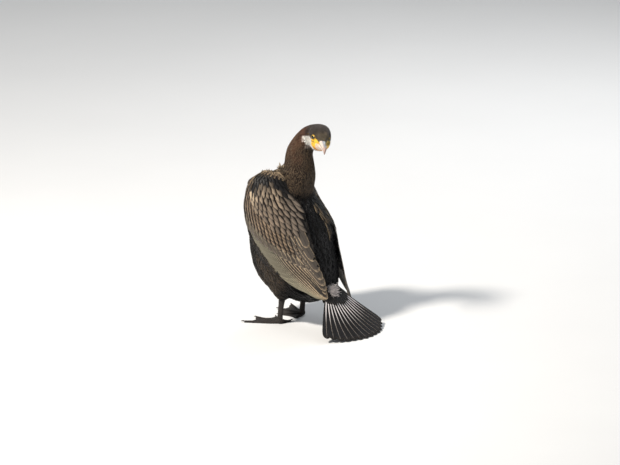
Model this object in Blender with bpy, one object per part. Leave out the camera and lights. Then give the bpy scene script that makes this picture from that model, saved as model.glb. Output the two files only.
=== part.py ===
# Great cormorant, life size, standing at rest with its head turned back over the left shoulder.
# The bird faces -Y and its left side is +X. Its soles and the tips of its tail lie at z = 0.
# Sizes are in millimetres and are brought to metres as each mesh is made.
# Each named object is one part of the body. Neighbours keep a gap of GAP between their faces.

import math

import bmesh
import bpy
from mathutils import Matrix, Vector

MM = 0.001
GAP = 0.3
CUTTER_SWELL = 0.6          # how far the copies of the body that cut wings and thighs stand proud

# Stance
BODY_LIFT = 14.0            # height added under the body so that the tail clears the floor
HEAD_HEADING = 48.0         # degrees from +X toward +Y that the bill points to
HEAD_PITCH = 4.0            # degrees that the bill points below level
HEAD_ROLL = 11.0            # degrees that the left side of the head hangs
HEAD_TURN = 138.0           # degrees that the neck twists between shoulders and head
EYES_MIDDLE = (4.9, 86.7, 444.0)

# Rings of the trunk, from the tail root to the neck: back point (y, z), belly point (y, z), half width
TRUNK_STATIONS = (
    ((118.0, 86.0), (106.0, 75.5), 20.0),
    ((113.0, 108.0), (88.0, 54.0), 37.0),
    ((109.0, 126.0), (50.0, 41.0), 56.0),
    ((104.0, 148.0), (0.0, 47.0), 69.0),
    ((98.0, 172.0), (-57.0, 64.0), 78.0),
    ((93.0, 196.0), (-91.0, 102.0), 84.0),
    ((88.0, 220.0), (-105.0, 152.0), 86.0),
    ((75.0, 246.0), (-109.0, 205.0), 82.0),
    ((56.0, 272.0), (-105.0, 255.0), 71.0),
    ((41.0, 291.0), (-93.0, 300.0), 60.0),
    ((45.0, 310.0), (-73.0, 331.0), 51.0),
    ((49.0, 329.0), (-40.0, 350.0), 45.0),
)
TRUNK_ROUNDNESS = 2.3

# Rings of the neck: centre (x, y, z), share of the head's turn, half width, nape side, throat side
NECK_STATIONS = (
    ((-2.0, 17.0, 359.0), 0.10, 39.0, 36.0, 38.0),
    ((-4.0, 13.5, 378.0), 0.35, 34.0, 33.0, 34.0),
    ((-10.0, 10.5, 397.0), 0.65, 30.5, 29.5, 31.0),
    ((-16.5, 15.5, 414.0), 0.88, 27.5, 26.0, 28.0),
    ((-18.5, 26.5, 430.0), 1.00, 25.0, 24.5, 26.0),
    ((-16.0, 41.5, 440.5), 1.00, 24.0, 24.0, 24.5),
)
NECK_ROUNDNESS = 2.05

# Rings of the head: distance before the eyes, height of the centre, half width, crown side, throat side
HEAD_STATIONS = (
    (-32.0, 0.5, 25.0, 24.5, 30.0),
    (-20.0, 0.5, 26.0, 25.5, 34.5),
    (-9.0, 0.0, 24.8, 23.5, 34.0),
    (0.0, -0.5, 21.6, 20.0, 29.5),
    (8.0, -1.0, 17.4, 15.5, 24.0),
    (16.0, -2.0, 12.2, 11.0, 19.0),
)
HEAD_ROUNDNESS = 2.15
JAW_ROUNDNESS = 2.8         # the cheeks are fuller below than above
CUT_NECK_LOW = 11.0         # ring number, trunk and neck counted on, where the trunk ends
CUT_NECK_MID = 14.0
CUT_NECK_TOP = 16.6
TRUNK_RINGS = 19
TRUNK_SECTORS = 30
NECK_RINGS = 5
NECK_SECTORS = 28
HEAD_RINGS = 11
GULAR_CUT_POINT = (-10.0, 0.0, -22.0)   # head's own frame: forward, left, up
GULAR_CUT_NORMAL = (0.5, 0.0, -0.87)

# Bill, in the head's own frame: forward, half width, ridge height, cutting edge height
UPPER_BILL = (
    (16.0, 10.2, 8.6, -4.6),
    (26.0, 8.0, 5.8, -4.9),
    (38.0, 6.2, 3.6, -5.4),
    (50.0, 5.2, 2.6, -5.8),
    (60.0, 4.7, 2.6, -6.2),
    (67.0, 4.2, 2.0, -7.0),
    (71.5, 3.2, 0.0, -9.5),
    (74.3, 2.0, -3.6, -12.2),
    (75.2, 0.9, -8.4, -13.6),
)
BILL_SIDES = 12
UPPER_BILL_ROUNDNESS = 2.6
LOWER_BILL_ROUNDNESS = 2.4
LOWER_BILL = (
    (16.0, 9.6, -4.9, -17.6),
    (28.0, 7.2, -5.2, -15.4),
    (40.0, 5.4, -5.7, -12.4),
    (52.0, 4.2, -6.1, -11.2),
    (62.0, 3.2, -6.5, -10.2),
    (67.0, 1.6, -7.4, -9.4),
)
EYE_RADIUS = 6.6
EYE_ASIDE = 16.3            # centre of the eyeball, left and right of the middle
EYE_HEIGHT = 1.5            # centre of the eyeball above the head's own origin
EYE_SEGMENTS = 14
EYE_RINGS = 9

# Left wing from shoulder to tip: leading edge, outermost line, inner edge beside the back, thickness
WING_STATIONS = (
    ((58.0, -46.0, 352.0), (62.0, -16.0, 357.0), (46.0, 9.0, 346.0), 12.0),
    ((80.0, -66.0, 332.0), (80.0, -14.0, 335.0), (36.0, 24.0, 316.0), 20.0),
    ((88.0, -76.0, 290.0), (95.0, -8.0, 286.0), (34.0, 58.0, 273.0), 25.0),
    ((90.0, -75.0, 245.0), (102.0, 10.0, 238.0), (45.0, 86.0, 228.0), 26.0),
    ((90.0, -58.0, 192.0), (99.0, 22.0, 188.0), (42.0, 98.0, 182.0), 24.0),
    ((84.0, -26.0, 140.0), (90.0, 42.0, 140.0), (37.0, 110.0, 142.0), 16.0),
    ((75.0, 26.0, 98.0), (76.0, 72.0, 108.0), (31.0, 119.0, 112.0), 9.0),
    ((58.0, 82.0, 78.0), (56.0, 105.0, 87.0), (28.0, 127.0, 92.0), 4.0),
    ((40.0, 122.0, 73.0), (36.0, 130.0, 79.0), (30.0, 134.0, 82.0), 1.6),
)
WING_COLUMNS = 8
WING_ARM_ROWS = 12
WING_TIP_ROWS = 6
WING_CUT = 5.55             # station where the long wing-tip feathers leave the arm
WING_CUT_GAP = 0.006        # width of that cut, counted in stations
WING_EDGE_SHARE = 0.10      # thickness left at the inner edge, as a share of the row's own
WING_LEAD_SHARE = 0.7       # thickness at the leading edge
WING_LEAD_WIDTH = 0.2       # share of the width over which the leading edge rounds off
WING_FLAT_WIDTH = 0.25      # share of the width from which the wing thins
WING_THIN_LEAST = 1.0
RIGHT_WING_HINGE = (70.0, -20.0, 230.0)     # as on the left wing, before it is mirrored
RIGHT_WING_SPREAD = 7.0     # degrees that the right wing turns about it, tip outward and shoulder inward
RIGHT_WING_DROP = 14.0      # how much lower the right wing hangs

# Tail: a fan of overlapping feathers, laid at its tips on the floor
TAIL_FEATHERS = 14
TAIL_LENGTH = 156.0
TAIL_SIDE_SHARE = 0.88      # length of the outermost feathers against the middle ones
TAIL_SPREAD = 40.0          # degrees from the middle to the outermost feather
TAIL_ROOT_HALF = 19.0
TAIL_ROOT_AT = (0.0, 112.0, 80.75)
TAIL_SLOPE_TIP = 20.0       # degrees below level at the tip, on the floor
TAIL_BEND = 1.5             # how late along its length the tail bends
TAIL_ROW_SHARES = (0.0, 0.24, 0.5, 0.76, 0.975, 1.0)    # places along each feather
TAIL_REST_SHARE = 0.97      # from here to the tip the underside is flat on the floor
TAIL_COLUMNS = (0.0, 0.35, 0.7, 1.0)    # places across each feather
TAIL_STEP = 1.1             # height of the step from one feather to the next
TAIL_STEP_SHARE = 0.4       # place along the feather from which the step has its full height
TAIL_THICK_ROOT = 12.0
TAIL_THICK_TIP = 1.3
TAIL_THIN_LEAST = 0.7
TAIL_THINNING = 0.45        # how early along its length the tail thins
TAIL_LINE_STEPS = 60
TAIL_ROOT_SLOPES = (10.0, 85.0)     # degrees, range in which the slope at the root is looked for
TAIL_HALVINGS = 30
TAIL_TIP_ROUND = 0.045      # share of its length that a feather's corners fall short of its tip
TAIL_CROWN = 0.0013         # droop of the sides against the middle, per millimetre squared

# Legs
FOOT_ASIDE = 44.0
LEFT_FOOT_BACK = -6.0
RIGHT_FOOT_BACK = -12.0
FOOT_TURN_OUT = 4.0         # degrees
ANKLE_RADIUS = 7.6
ANKLE_AHEAD = 5.0           # distance of the ankle before the point where the toes meet
ANKLE_STATIONS = ((1.0, 0.75), (4.0, 1.0), (8.0, 1.0), (12.0, 0.85))    # height, share of the radius
LEG_SIDES = 14
THIGH_SIDES = 20
TARSUS_STATIONS = (         # height, distance back, half width, half depth
    (12.3, 0.0, 5.6, 7.6),
    (20.0, 1.0, 4.9, 7.0),
    (38.0, 3.0, 4.7, 7.2),
    (52.0, 5.0, 5.4, 8.2),
    (60.0, 6.5, 6.2, 9.2),
)
THIGH_STATIONS = (          # height, distance back, distance outward, half width, half depth
    (60.3, 7.0, 0.0, 8.5, 11.5),
    (70.0, 5.0, 1.0, 14.0, 18.0),
    (86.0, 0.0, 3.0, 19.0, 27.0),
    (106.0, -10.0, 4.0, 22.0, 34.0),
    (130.0, -20.0, 2.0, 22.0, 34.0),
    (150.0, -28.0, 0.0, 18.0, 28.0),
)

# Toes of the left foot: turn from straight ahead toward the outside (degrees), length, half width
TOES = (
    (-98.0, 31.0, 3.0),
    (-40.0, 55.0, 3.8),
    (-4.0, 76.0, 4.2),
    (27.0, 88.0, 4.4),
)
TOE_HEIGHT_ROOT = 9.0
TOE_HEIGHT_TIP = 4.4
TOE_SPREAD_SHARE = 0.3      # share of its length over which a toe widens from the heel
WEB_HEIGHT = 1.5
WEB_SAG = 0.15              # share by which the web's edge hangs back between two toes
WEB_COLUMNS = (0.33, 0.67)
FOOT_ROWS = 7
CLAW_LENGTH = 9.5
CLAW_RADIUS = 1.9
CLAW_HEIGHT = 3.0
CLAW_DROP = 1.2
CLAW_SIDES = 6
CLAW_ARCH = 0.5
CLAW_STATIONS = ((0.0, 1.0), (0.35, 0.86), (0.7, 0.55), (1.0, 0.12))    # share of length, of radius

COLOURS = {
    "plumage_dark": ((0.030, 0.026, 0.024), 0.55),
    "plumage_brown": ((0.115, 0.082, 0.058), 0.65),
    "plumage_bronze": ((0.155, 0.128, 0.100), 0.50),
    "bare_skin_yellow": ((0.72, 0.46, 0.06), 0.45),
    "bill_horn": ((0.55, 0.50, 0.45), 0.35),
    "eye_green": ((0.02, 0.10, 0.07), 0.05),
    "leg_black": ((0.018, 0.017, 0.018), 0.45),
}


def clearScene():
    for item in list(bpy.data.objects):
        bpy.data.objects.remove(item, do_unlink=True)


def principled(name):
    material = bpy.data.materials.get(name)
    if material is None:
        colour, roughness = COLOURS[name]
        material = bpy.data.materials.new(name)
        material.use_nodes = True
        shader = material.node_tree.nodes["Principled BSDF"]
        shader.inputs["Base Color"].default_value = (*colour, 1.0)
        shader.inputs["Roughness"].default_value = roughness
        shader.inputs["Metallic"].default_value = 0.0
    return material


def addObject(name, mesh, materialName):
    mesh.materials.append(principled(materialName))
    mesh.shade_smooth()
    mesh.set_sharp_from_angle(angle=math.radians(40.0))
    item = bpy.data.objects.new(name, mesh)
    bpy.context.scene.collection.objects.link(item)
    return item


def meshFromBmesh(name, bm):
    bmesh.ops.recalc_face_normals(bm, faces=bm.faces)
    bmesh.ops.triangulate(bm, faces=bm.faces)
    bmesh.ops.scale(bm, vec=Vector((MM, MM, MM)), verts=bm.verts)
    mesh = bpy.data.meshes.new(name)
    bm.to_mesh(mesh)
    bm.free()
    return mesh


def smoothRow(rows, at):
    """Catmull-Rom blend of equal rows of numbers at a place counted in rows."""
    last = len(rows) - 1
    index = min(max(int(math.floor(at)), 0), last - 1)
    t = at - index
    picked = [rows[min(max(index + step, 0), last)] for step in (-1, 0, 1, 2)]
    blended = []
    for a, b, c, d in zip(*picked):
        blended.append(0.5 * (2.0 * b + (c - a) * t + (2.0 * a - 5.0 * b + 4.0 * c - d) * t * t
                              + (3.0 * b - a - 3.0 * c + d) * t ** 3))
    return blended


def headFrame():
    """Matrix from the head's own frame (forward, left, up, from between the eyes) to the bird's."""
    heading = math.radians(HEAD_HEADING)
    turn = Matrix.Rotation(heading, 3, "Z")
    pitch = Matrix.Rotation(math.radians(HEAD_PITCH), 3, "Y")
    roll = Matrix.Rotation(math.radians(-HEAD_ROLL), 3, "X")
    frame = (turn @ pitch @ roll).to_4x4()
    frame.translation = Vector(EYES_MIDDLE) + Vector((0.0, 0.0, BODY_LIFT))
    return frame


def lifted(point):
    return Vector((point[0], point[1], point[2] + BODY_LIFT))


def bodyRows():
    """One row for each ring from tail root to bill: centre, axis, facing angle, radii, and roundness
    of the back and of the front."""
    rows = []
    for back, belly, halfWidth in TRUNK_STATIONS:
        backPoint = lifted((0.0, *back))
        bellyPoint = lifted((0.0, *belly))
        across = backPoint - bellyPoint
        axis = Vector((0.0, -across.z, across.y)).normalized()
        depth = across.length / 2.0
        centre = (backPoint + bellyPoint) / 2.0
        rows.append([*centre, *axis, -90.0, halfWidth, depth, depth, TRUNK_ROUNDNESS, TRUNK_ROUNDNESS])
    frame = headFrame()
    forward = (frame.to_3x3() @ Vector((1.0, 0.0, 0.0))).normalized()
    headRows = []
    for ahead, height, halfWidth, crown, throat in HEAD_STATIONS:
        centre = frame @ Vector((ahead, 0.0, height))
        headRows.append([*centre, *forward, HEAD_HEADING, halfWidth, crown, throat, HEAD_ROUNDNESS,
                         JAW_ROUNDNESS])
    centres = [Vector(rows[-1][:3])] + [lifted(station[0]) for station in NECK_STATIONS]
    centres.append(Vector(headRows[0][:3]))
    for number, (_, turned, halfWidth, nape, throat) in enumerate(NECK_STATIONS, start=1):
        axis = (centres[number + 1] - centres[number - 1]).normalized()
        facing = -90.0 + turned * HEAD_TURN
        rows.append([*centres[number], *axis, facing, halfWidth, nape, throat, NECK_ROUNDNESS,
                     NECK_ROUNDNESS])
    return rows + headRows


def bodyRing(row, sectors, reference):
    """Points round one ring. The reference direction is carried along so that the rings don't twist."""
    centre = Vector(row[0:3])
    axis = Vector(row[3:6]).normalized()
    facing = math.radians(row[6])
    halfWidth, dorsal, ventral, dorsalPower, ventralPower = row[7:12]
    ahead = Vector((math.cos(facing), math.sin(facing), 0.0))
    up = Vector((0.0, 0.0, 1.0))
    back = up * axis.dot(ahead) - ahead * axis.dot(up)
    back = (back - axis * back.dot(axis)).normalized()
    side = axis.cross(back).normalized()
    start = (reference - axis * reference.dot(axis)).normalized()
    other = axis.cross(start)
    points = []
    for number in range(sectors):
        angle = 2.0 * math.pi * number / sectors
        direction = start * math.cos(angle) + other * math.sin(angle)
        across = abs(direction.dot(side)) / halfWidth
        along = direction.dot(back)
        power = dorsalPower if along > 0.0 else ventralPower
        along = along / dorsal if along > 0.0 else -along / ventral
        reach = (across ** power + along ** power) ** (-1.0 / power)
        points.append(centre + direction * reach)
    return points, start


def loft(name, rings, materialName):
    """Closed body through a row of rings with equal numbers of points."""
    bm = bmesh.new()
    loops = [[bm.verts.new(point) for point in ring] for ring in rings]
    for low, high in zip(loops, loops[1:]):
        count = len(low)
        for number in range(count):
            nextNumber = (number + 1) % count
            bm.faces.new((low[number], low[nextNumber], high[nextNumber], high[number]))
    bm.faces.new(list(reversed(loops[0])))
    bm.faces.new(loops[-1])
    return addObject(name, meshFromBmesh(name, bm), materialName)


def bodyPiece(name, start, end, steps, sectors, materialName, inflate=0.0, closeGap=True):
    """Stretch of the body between two ring numbers, with half a gap left at each cut end."""
    rows = bodyRows()
    reference = Vector((1.0, 0.0, 0.0))
    rings = []
    for step in range(steps + 1):
        at = start + (end - start) * step / steps
        row = smoothRow(rows, at)
        axis = Vector(row[3:6]).normalized()
        if closeGap and step == 0 and start > 0.0:
            row[0:3] = Vector(row[0:3]) + axis * GAP / 2.0
        if closeGap and step == steps and end < len(rows) - 1:
            row[0:3] = Vector(row[0:3]) - axis * GAP / 2.0
        for slot in (7, 8, 9):
            row[slot] += inflate
        ring, reference = bodyRing(row, sectors, reference)
        rings.append(ring)
    return loft(name, rings, materialName)


def subtract(item, cutter):
    """Take a cutter's volume out of a body."""
    cutter.hide_render = True
    cutter.display_type = "WIRE"
    cut = item.modifiers.new("cut by " + cutter.name, "BOOLEAN")
    cut.operation = "DIFFERENCE"
    cut.solver = "EXACT"
    cut.object = cutter


def keepLargestPiece(item):
    """Fix the cuts into the mesh, and drop the slivers that they leave beside the piece itself."""
    bpy.context.view_layer.update()
    seen = item.evaluated_get(bpy.context.evaluated_depsgraph_get())
    mesh = bpy.data.meshes.new_from_object(seen)
    item.modifiers.clear()
    bm = bmesh.new()
    bm.from_mesh(mesh)
    waiting = set(bm.faces)
    islands = []
    while waiting:
        front = [waiting.pop()]
        island = list(front)
        while front:
            face = front.pop()
            for edge in face.edges:
                for neighbour in edge.link_faces:
                    if neighbour in waiting:
                        waiting.remove(neighbour)
                        front.append(neighbour)
                        island.append(neighbour)
        islands.append(island)
    islands.sort(key=lambda island: sum(face.calc_area() for face in island))
    slivers = [face for island in islands[:-1] for face in island]
    bmesh.ops.delete(bm, geom=slivers, context="FACES")
    bm.to_mesh(mesh)
    bm.free()
    item.data = mesh


def makeTrunkAndNeck():
    """The trunk and the two lengths of neck, and swollen copies that cut what lies against them."""
    lengths = (("trunk", 0.0, CUT_NECK_LOW, TRUNK_RINGS, TRUNK_SECTORS, "plumage_dark"),
               ("neck_lower", CUT_NECK_LOW, CUT_NECK_MID, NECK_RINGS, NECK_SECTORS, "plumage_brown"),
               ("neck_upper", CUT_NECK_MID, CUT_NECK_TOP, NECK_RINGS, NECK_SECTORS, "plumage_brown"))
    for name, start, end, rings, sectors, materialName in lengths:
        bodyPiece(name, start, end, rings, sectors, materialName)
    cutters = []
    for name, start, end, rings, sectors, materialName in lengths[:2]:
        cutters.append(bodyPiece(name + "_cutter", start, end, rings, sectors, materialName, CUTTER_SWELL,
                                 False))
    return cutters


def ballMesh(name, centre, radius, segments, rings):
    bm = bmesh.new()
    bmesh.ops.create_uvsphere(bm, u_segments=segments, v_segments=rings, radius=radius)
    bmesh.ops.translate(bm, vec=centre, verts=bm.verts)
    return meshFromBmesh(name, bm)


def splitByPlane(item, point, normal, newName, materialName):
    """Part a closed body with a thin plane cut. What lies beyond the plane gets the new name."""
    halfGap = normal.normalized() * (GAP / 2.0 * MM)
    pieces = []
    for sign in (-1.0, 1.0):
        bm = bmesh.new()
        bm.from_mesh(item.data)
        everything = list(bm.verts) + list(bm.edges) + list(bm.faces)
        result = bmesh.ops.bisect_plane(bm, geom=everything, plane_co=point + halfGap * sign,
                                        plane_no=normal * sign, clear_inner=True, dist=1e-7)
        rim = [edge for edge in result["geom_cut"] if isinstance(edge, bmesh.types.BMEdge)]
        bmesh.ops.contextual_create(bm, geom=rim)
        bmesh.ops.triangulate(bm, faces=bm.faces)
        bmesh.ops.recalc_face_normals(bm, faces=bm.faces)
        pieces.append(bm)
    kept, partedOff = pieces
    kept.to_mesh(item.data)
    kept.free()
    mesh = bpy.data.meshes.new(newName)
    partedOff.to_mesh(mesh)
    partedOff.free()
    return addObject(newName, mesh, materialName)


def makeHead():
    frame = headFrame()
    head = bodyPiece("head", CUT_NECK_TOP, len(bodyRows()) - 1.0, HEAD_RINGS, NECK_SECTORS,
                     "plumage_brown")
    point = (frame @ Vector(GULAR_CUT_POINT)) * MM
    normal = frame.to_3x3() @ Vector(GULAR_CUT_NORMAL)
    splitByPlane(head, point, normal, "gular_skin", "bare_skin_yellow")
    for sideName, side in (("left", 1.0), ("right", -1.0)):
        centre = frame @ Vector((0.0, side * EYE_ASIDE, EYE_HEIGHT))
        socket = ballMesh("socket_cutter_" + sideName, centre, EYE_RADIUS + GAP, EYE_SEGMENTS, EYE_RINGS)
        cutter = addObject("socket_cutter_" + sideName, socket, "plumage_brown")
        subtract(head, cutter)
        ball = ballMesh("eye_" + sideName, centre, EYE_RADIUS, EYE_SEGMENTS, EYE_RINGS)
        addObject("eye_" + sideName, ball, "eye_green")


def billRing(frame, ahead, halfWidth, top, bottom, power):
    """One upright ring of the bill, rounded over the ridge and flat at the cutting edge."""
    centre = (top + bottom) / 2.0
    half = (top - bottom) / 2.0
    points = []
    for number in range(BILL_SIDES):
        angle = 2.0 * math.pi * number / BILL_SIDES
        across = math.cos(angle)
        upward = math.sin(angle)
        reach = (abs(across) ** power + abs(upward) ** power) ** (-1.0 / power)
        points.append(frame @ Vector((ahead, halfWidth * across * reach, centre + half * upward * reach)))
    return points


def makeBill():
    frame = headFrame()
    for name, stations, power in (("bill_upper", UPPER_BILL, UPPER_BILL_ROUNDNESS),
                                  ("bill_lower", LOWER_BILL, LOWER_BILL_ROUNDNESS)):
        steps = 2 * (len(stations) - 1)
        rings = []
        for step in range(steps + 1):
            ahead, halfWidth, top, bottom = smoothRow(stations, step / 2.0)
            if step == 0:
                ahead += GAP
            rings.append(billRing(frame, ahead, halfWidth, top, bottom, power))
        loft(name, rings, "bill_horn")


def wingSurface(at, across):
    """Outer face of the left wing and its inward thickness, at a station and from edge to edge."""
    rows = [[*lead, *outer, *inner, thick] for lead, outer, inner, thick in WING_STATIONS]
    row = smoothRow(rows, at)
    lead = Vector(row[0:3])
    outer = Vector(row[3:6])
    inner = Vector(row[6:9])
    control = outer * 2.0 - (lead + inner) / 2.0
    point = lead * (1.0 - across) ** 2 + control * 2.0 * across * (1.0 - across) + inner * across ** 2
    rounding = WING_LEAD_SHARE + (1.0 - WING_LEAD_SHARE) * min(across / WING_LEAD_WIDTH, 1.0)
    thinned = max(across - WING_FLAT_WIDTH, 0.0) / (1.0 - WING_FLAT_WIDTH)
    thinning = 1.0 - (1.0 - WING_EDGE_SHARE) * thinned
    return lifted(point), max(row[9] * rounding * thinning, WING_THIN_LEAST)


def wingInward(at, across):
    step = 0.02
    alongStart = wingSurface(max(at - step, 0.0), across)[0]
    alongEnd = wingSurface(min(at + step, len(WING_STATIONS) - 1.0), across)[0]
    acrossStart = wingSurface(at, max(across - step, 0.0))[0]
    acrossEnd = wingSurface(at, min(across + step, 1.0))[0]
    normal = (acrossEnd - acrossStart).cross(alongEnd - alongStart).normalized()
    return normal


def wingGrid(start, end, rows):
    """Outer and inner points of a stretch of the left wing."""
    outerGrid = []
    innerGrid = []
    for row in range(rows + 1):
        at = start + (end - start) * row / rows
        outerRow = []
        innerRow = []
        for column in range(WING_COLUMNS + 1):
            across = column / WING_COLUMNS
            point, thick = wingSurface(at, across)
            outerRow.append(point)
            innerRow.append(point + wingInward(at, across) * thick)
        outerGrid.append(outerRow)
        innerGrid.append(innerRow)
    return outerGrid, innerGrid


def placeWing(point, side):
    """Left wing as modelled; the right one is its mirror, hung lower and turned with its tip outward."""
    if side > 0.0:
        return point
    mirrored = Vector((-point.x, point.y, point.z))
    hinge = lifted((-RIGHT_WING_HINGE[0], *RIGHT_WING_HINGE[1:]))
    spread = Matrix.Rotation(math.radians(RIGHT_WING_SPREAD), 3, "Y")
    return hinge + spread @ (mirrored - hinge) - Vector((0.0, 0.0, RIGHT_WING_DROP))


def makeWingPiece(name, start, end, rows, side, materialName):
    outerGrid, innerGrid = wingGrid(start, end, rows)
    bm = bmesh.new()
    top = [[bm.verts.new(placeWing(point, side)) for point in row] for row in outerGrid]
    bottom = [[bm.verts.new(placeWing(point, side)) for point in row] for row in innerGrid]
    closeGrids(bm, top, bottom, rows, WING_COLUMNS)
    return addObject(name, meshFromBmesh(name, bm), materialName)


def makeWings(bodyCutters):
    last = len(WING_STATIONS) - 1.0
    halfGap = WING_CUT_GAP / 2.0
    for sideName, side in (("left", 1.0), ("right", -1.0)):
        arm = makeWingPiece("wing_" + sideName, 0.0, WING_CUT - halfGap, WING_ARM_ROWS, side,
                            "plumage_bronze")
        tip = makeWingPiece("wing_tip_" + sideName, WING_CUT + halfGap, last, WING_TIP_ROWS, side,
                            "plumage_bronze")
        for cutter in bodyCutters:
            subtract(arm, cutter)
        subtract(tip, bodyCutters[0])
        keepLargestPiece(arm)
        keepLargestPiece(tip)


def tailLine(rootSlope):
    """Middle line of the tail from root to tip as (back, height, slope), for a slope at the root."""
    stride = TAIL_LENGTH / TAIL_LINE_STEPS
    back, height = 0.0, 0.0
    line = []
    for step in range(TAIL_LINE_STEPS + 1):
        share = (step / TAIL_LINE_STEPS) ** TAIL_BEND
        slope = math.radians(rootSlope + (TAIL_SLOPE_TIP - rootSlope) * share)
        line.append((back, height, slope))
        back += stride * math.cos(slope)
        height -= stride * math.sin(slope)
    return line


def settledTailLine(drop):
    """The line whose tip comes down by the given drop, found by halving the range of root slopes."""
    low, high = TAIL_ROOT_SLOPES
    for _ in range(TAIL_HALVINGS):
        middle = (low + high) / 2.0
        if -tailLine(middle)[-1][1] < drop:
            low = middle
        else:
            high = middle
    return tailLine((low + high) / 2.0)


def tailPoint(line, along, aside, rise):
    """Point of the fan at a distance along its middle line, aside from it and above its surface."""
    place = min(along / TAIL_LENGTH, 1.0) * (len(line) - 1)
    back, height, slope = smoothRow(line, place)
    root = lifted(TAIL_ROOT_AT)
    droop = TAIL_CROWN * aside * aside
    lift = rise - droop
    return root + Vector((aside, back + lift * math.sin(slope), height + lift * math.cos(slope)))


def makeTail():
    rootHeight = lifted(TAIL_ROOT_AT).z
    line = settledTailLine(rootHeight - TAIL_THICK_TIP / 2.0)
    rootGap = Vector((0.0, math.cos(line[0][2]), -math.sin(line[0][2]))) * GAP
    middle = (TAIL_FEATHERS - 1) / 2.0
    bm = bmesh.new()
    topGrid = []
    bottomGrid = []
    for feather in range(TAIL_FEATHERS):
        offset = (feather - middle) / middle
        places = TAIL_COLUMNS if feather > middle else [1.0 - place for place in reversed(TAIL_COLUMNS)]
        for place in places:
            inner = place if feather > middle else 1.0 - place
            share = (feather - 0.5 - middle + place) / (middle + 0.5)
            angle = math.radians(TAIL_SPREAD) * share
            length = TAIL_LENGTH * (1.0 - (1.0 - TAIL_SIDE_SHARE) * offset * offset)
            length *= 1.0 - TAIL_TIP_ROUND * (2.0 * place - 1.0) ** 2
            topRow = []
            bottomRow = []
            for down in TAIL_ROW_SHARES:
                reach = length * down
                thick = TAIL_THICK_ROOT + (TAIL_THICK_TIP - TAIL_THICK_ROOT) * down ** TAIL_THINNING
                step = TAIL_STEP * (inner - 0.5) * min(down / TAIL_STEP_SHARE, 1.0)
                along = reach * math.cos(angle)
                aside = TAIL_ROOT_HALF * share + reach * math.sin(angle)
                top = tailPoint(line, along, aside, thick / 2.0 + step) + rootGap
                bottom = tailPoint(line, along, aside, -thick / 2.0) + rootGap
                bottom.z = 0.0 if down > TAIL_REST_SHARE else max(bottom.z, 0.0)
                top.z = max(top.z, bottom.z + TAIL_THIN_LEAST)
                topRow.append(bm.verts.new(top))
                bottomRow.append(bm.verts.new(bottom))
            topGrid.append(topRow)
            bottomGrid.append(bottomRow)
    closeGrids(bm, topGrid, bottomGrid, len(topGrid) - 1, len(TAIL_ROW_SHARES) - 1)
    addObject("tail", meshFromBmesh("tail", bm), "plumage_dark")


def closeGrids(bm, top, bottom, columns, rows):
    """Faces over two matching grids of vertices and round their rim."""
    for column in range(columns):
        for row in range(rows):
            for grid in (top, bottom):
                bm.faces.new((grid[column][row], grid[column][row + 1],
                              grid[column + 1][row + 1], grid[column + 1][row]))
    rim = [(column, 0) for column in range(columns + 1)]
    rim += [(columns, row) for row in range(1, rows + 1)]
    rim += [(column, rows) for column in range(columns - 1, -1, -1)]
    rim += [(0, row) for row in range(rows - 1, 0, -1)]
    for here, there in zip(rim, rim[1:] + rim[:1]):
        bm.faces.new((top[here[0]][here[1]], top[there[0]][there[1]],
                      bottom[there[0]][there[1]], bottom[here[0]][here[1]]))


def ovalRing(x, y, z, halfWidth, halfDepth, sectors):
    ring = []
    for number in range(sectors):
        angle = 2.0 * math.pi * number / sectors
        ring.append(Vector((x + halfWidth * math.cos(angle), y + halfDepth * math.sin(angle), z)))
    return ring


def toeDirection(turn, side):
    angle = math.radians(turn + FOOT_TURN_OUT)
    return Vector((side * math.sin(angle), -math.cos(angle), 0.0))


def footColumns(heel, side):
    """Functions from a share of the length to a point on the web or a toe, in order across the foot."""
    columns = []
    for number, (turn, length, halfWidth) in enumerate(TOES):
        for edge in (-1.0, 0.0, 1.0):
            columns.append((number, edge, None, None))
        if number < len(TOES) - 1:
            for between in WEB_COLUMNS:
                columns.append((number, 1.0, number + 1, between))

    def toePoint(number, edge, share):
        turn, length, halfWidth = TOES[number]
        ahead = toeDirection(turn, side)
        outward = Vector((-ahead.y, ahead.x, 0.0)) * side
        spread = halfWidth * edge * min(share / TOE_SPREAD_SHARE, 1.0)
        return heel + ahead * length * share + outward * spread

    def height(number, edge, share):
        if edge != 0.0:
            return WEB_HEIGHT + (TOE_HEIGHT_ROOT - WEB_HEIGHT) * 0.5 * (1.0 - share) ** 3
        return TOE_HEIGHT_ROOT + (TOE_HEIGHT_TIP - TOE_HEIGHT_ROOT) * share ** 0.5

    def place(column, share):
        number, edge, nextNumber, between = column
        if nextNumber is None:
            return toePoint(number, edge, share), height(number, edge, share)
        held = share * (1.0 - WEB_SAG * 4.0 * between * (1.0 - between))
        point = toePoint(number, 1.0, held).lerp(toePoint(nextNumber, -1.0, held), between)
        return point, height(number, 1.0, held)

    return columns, place


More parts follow.
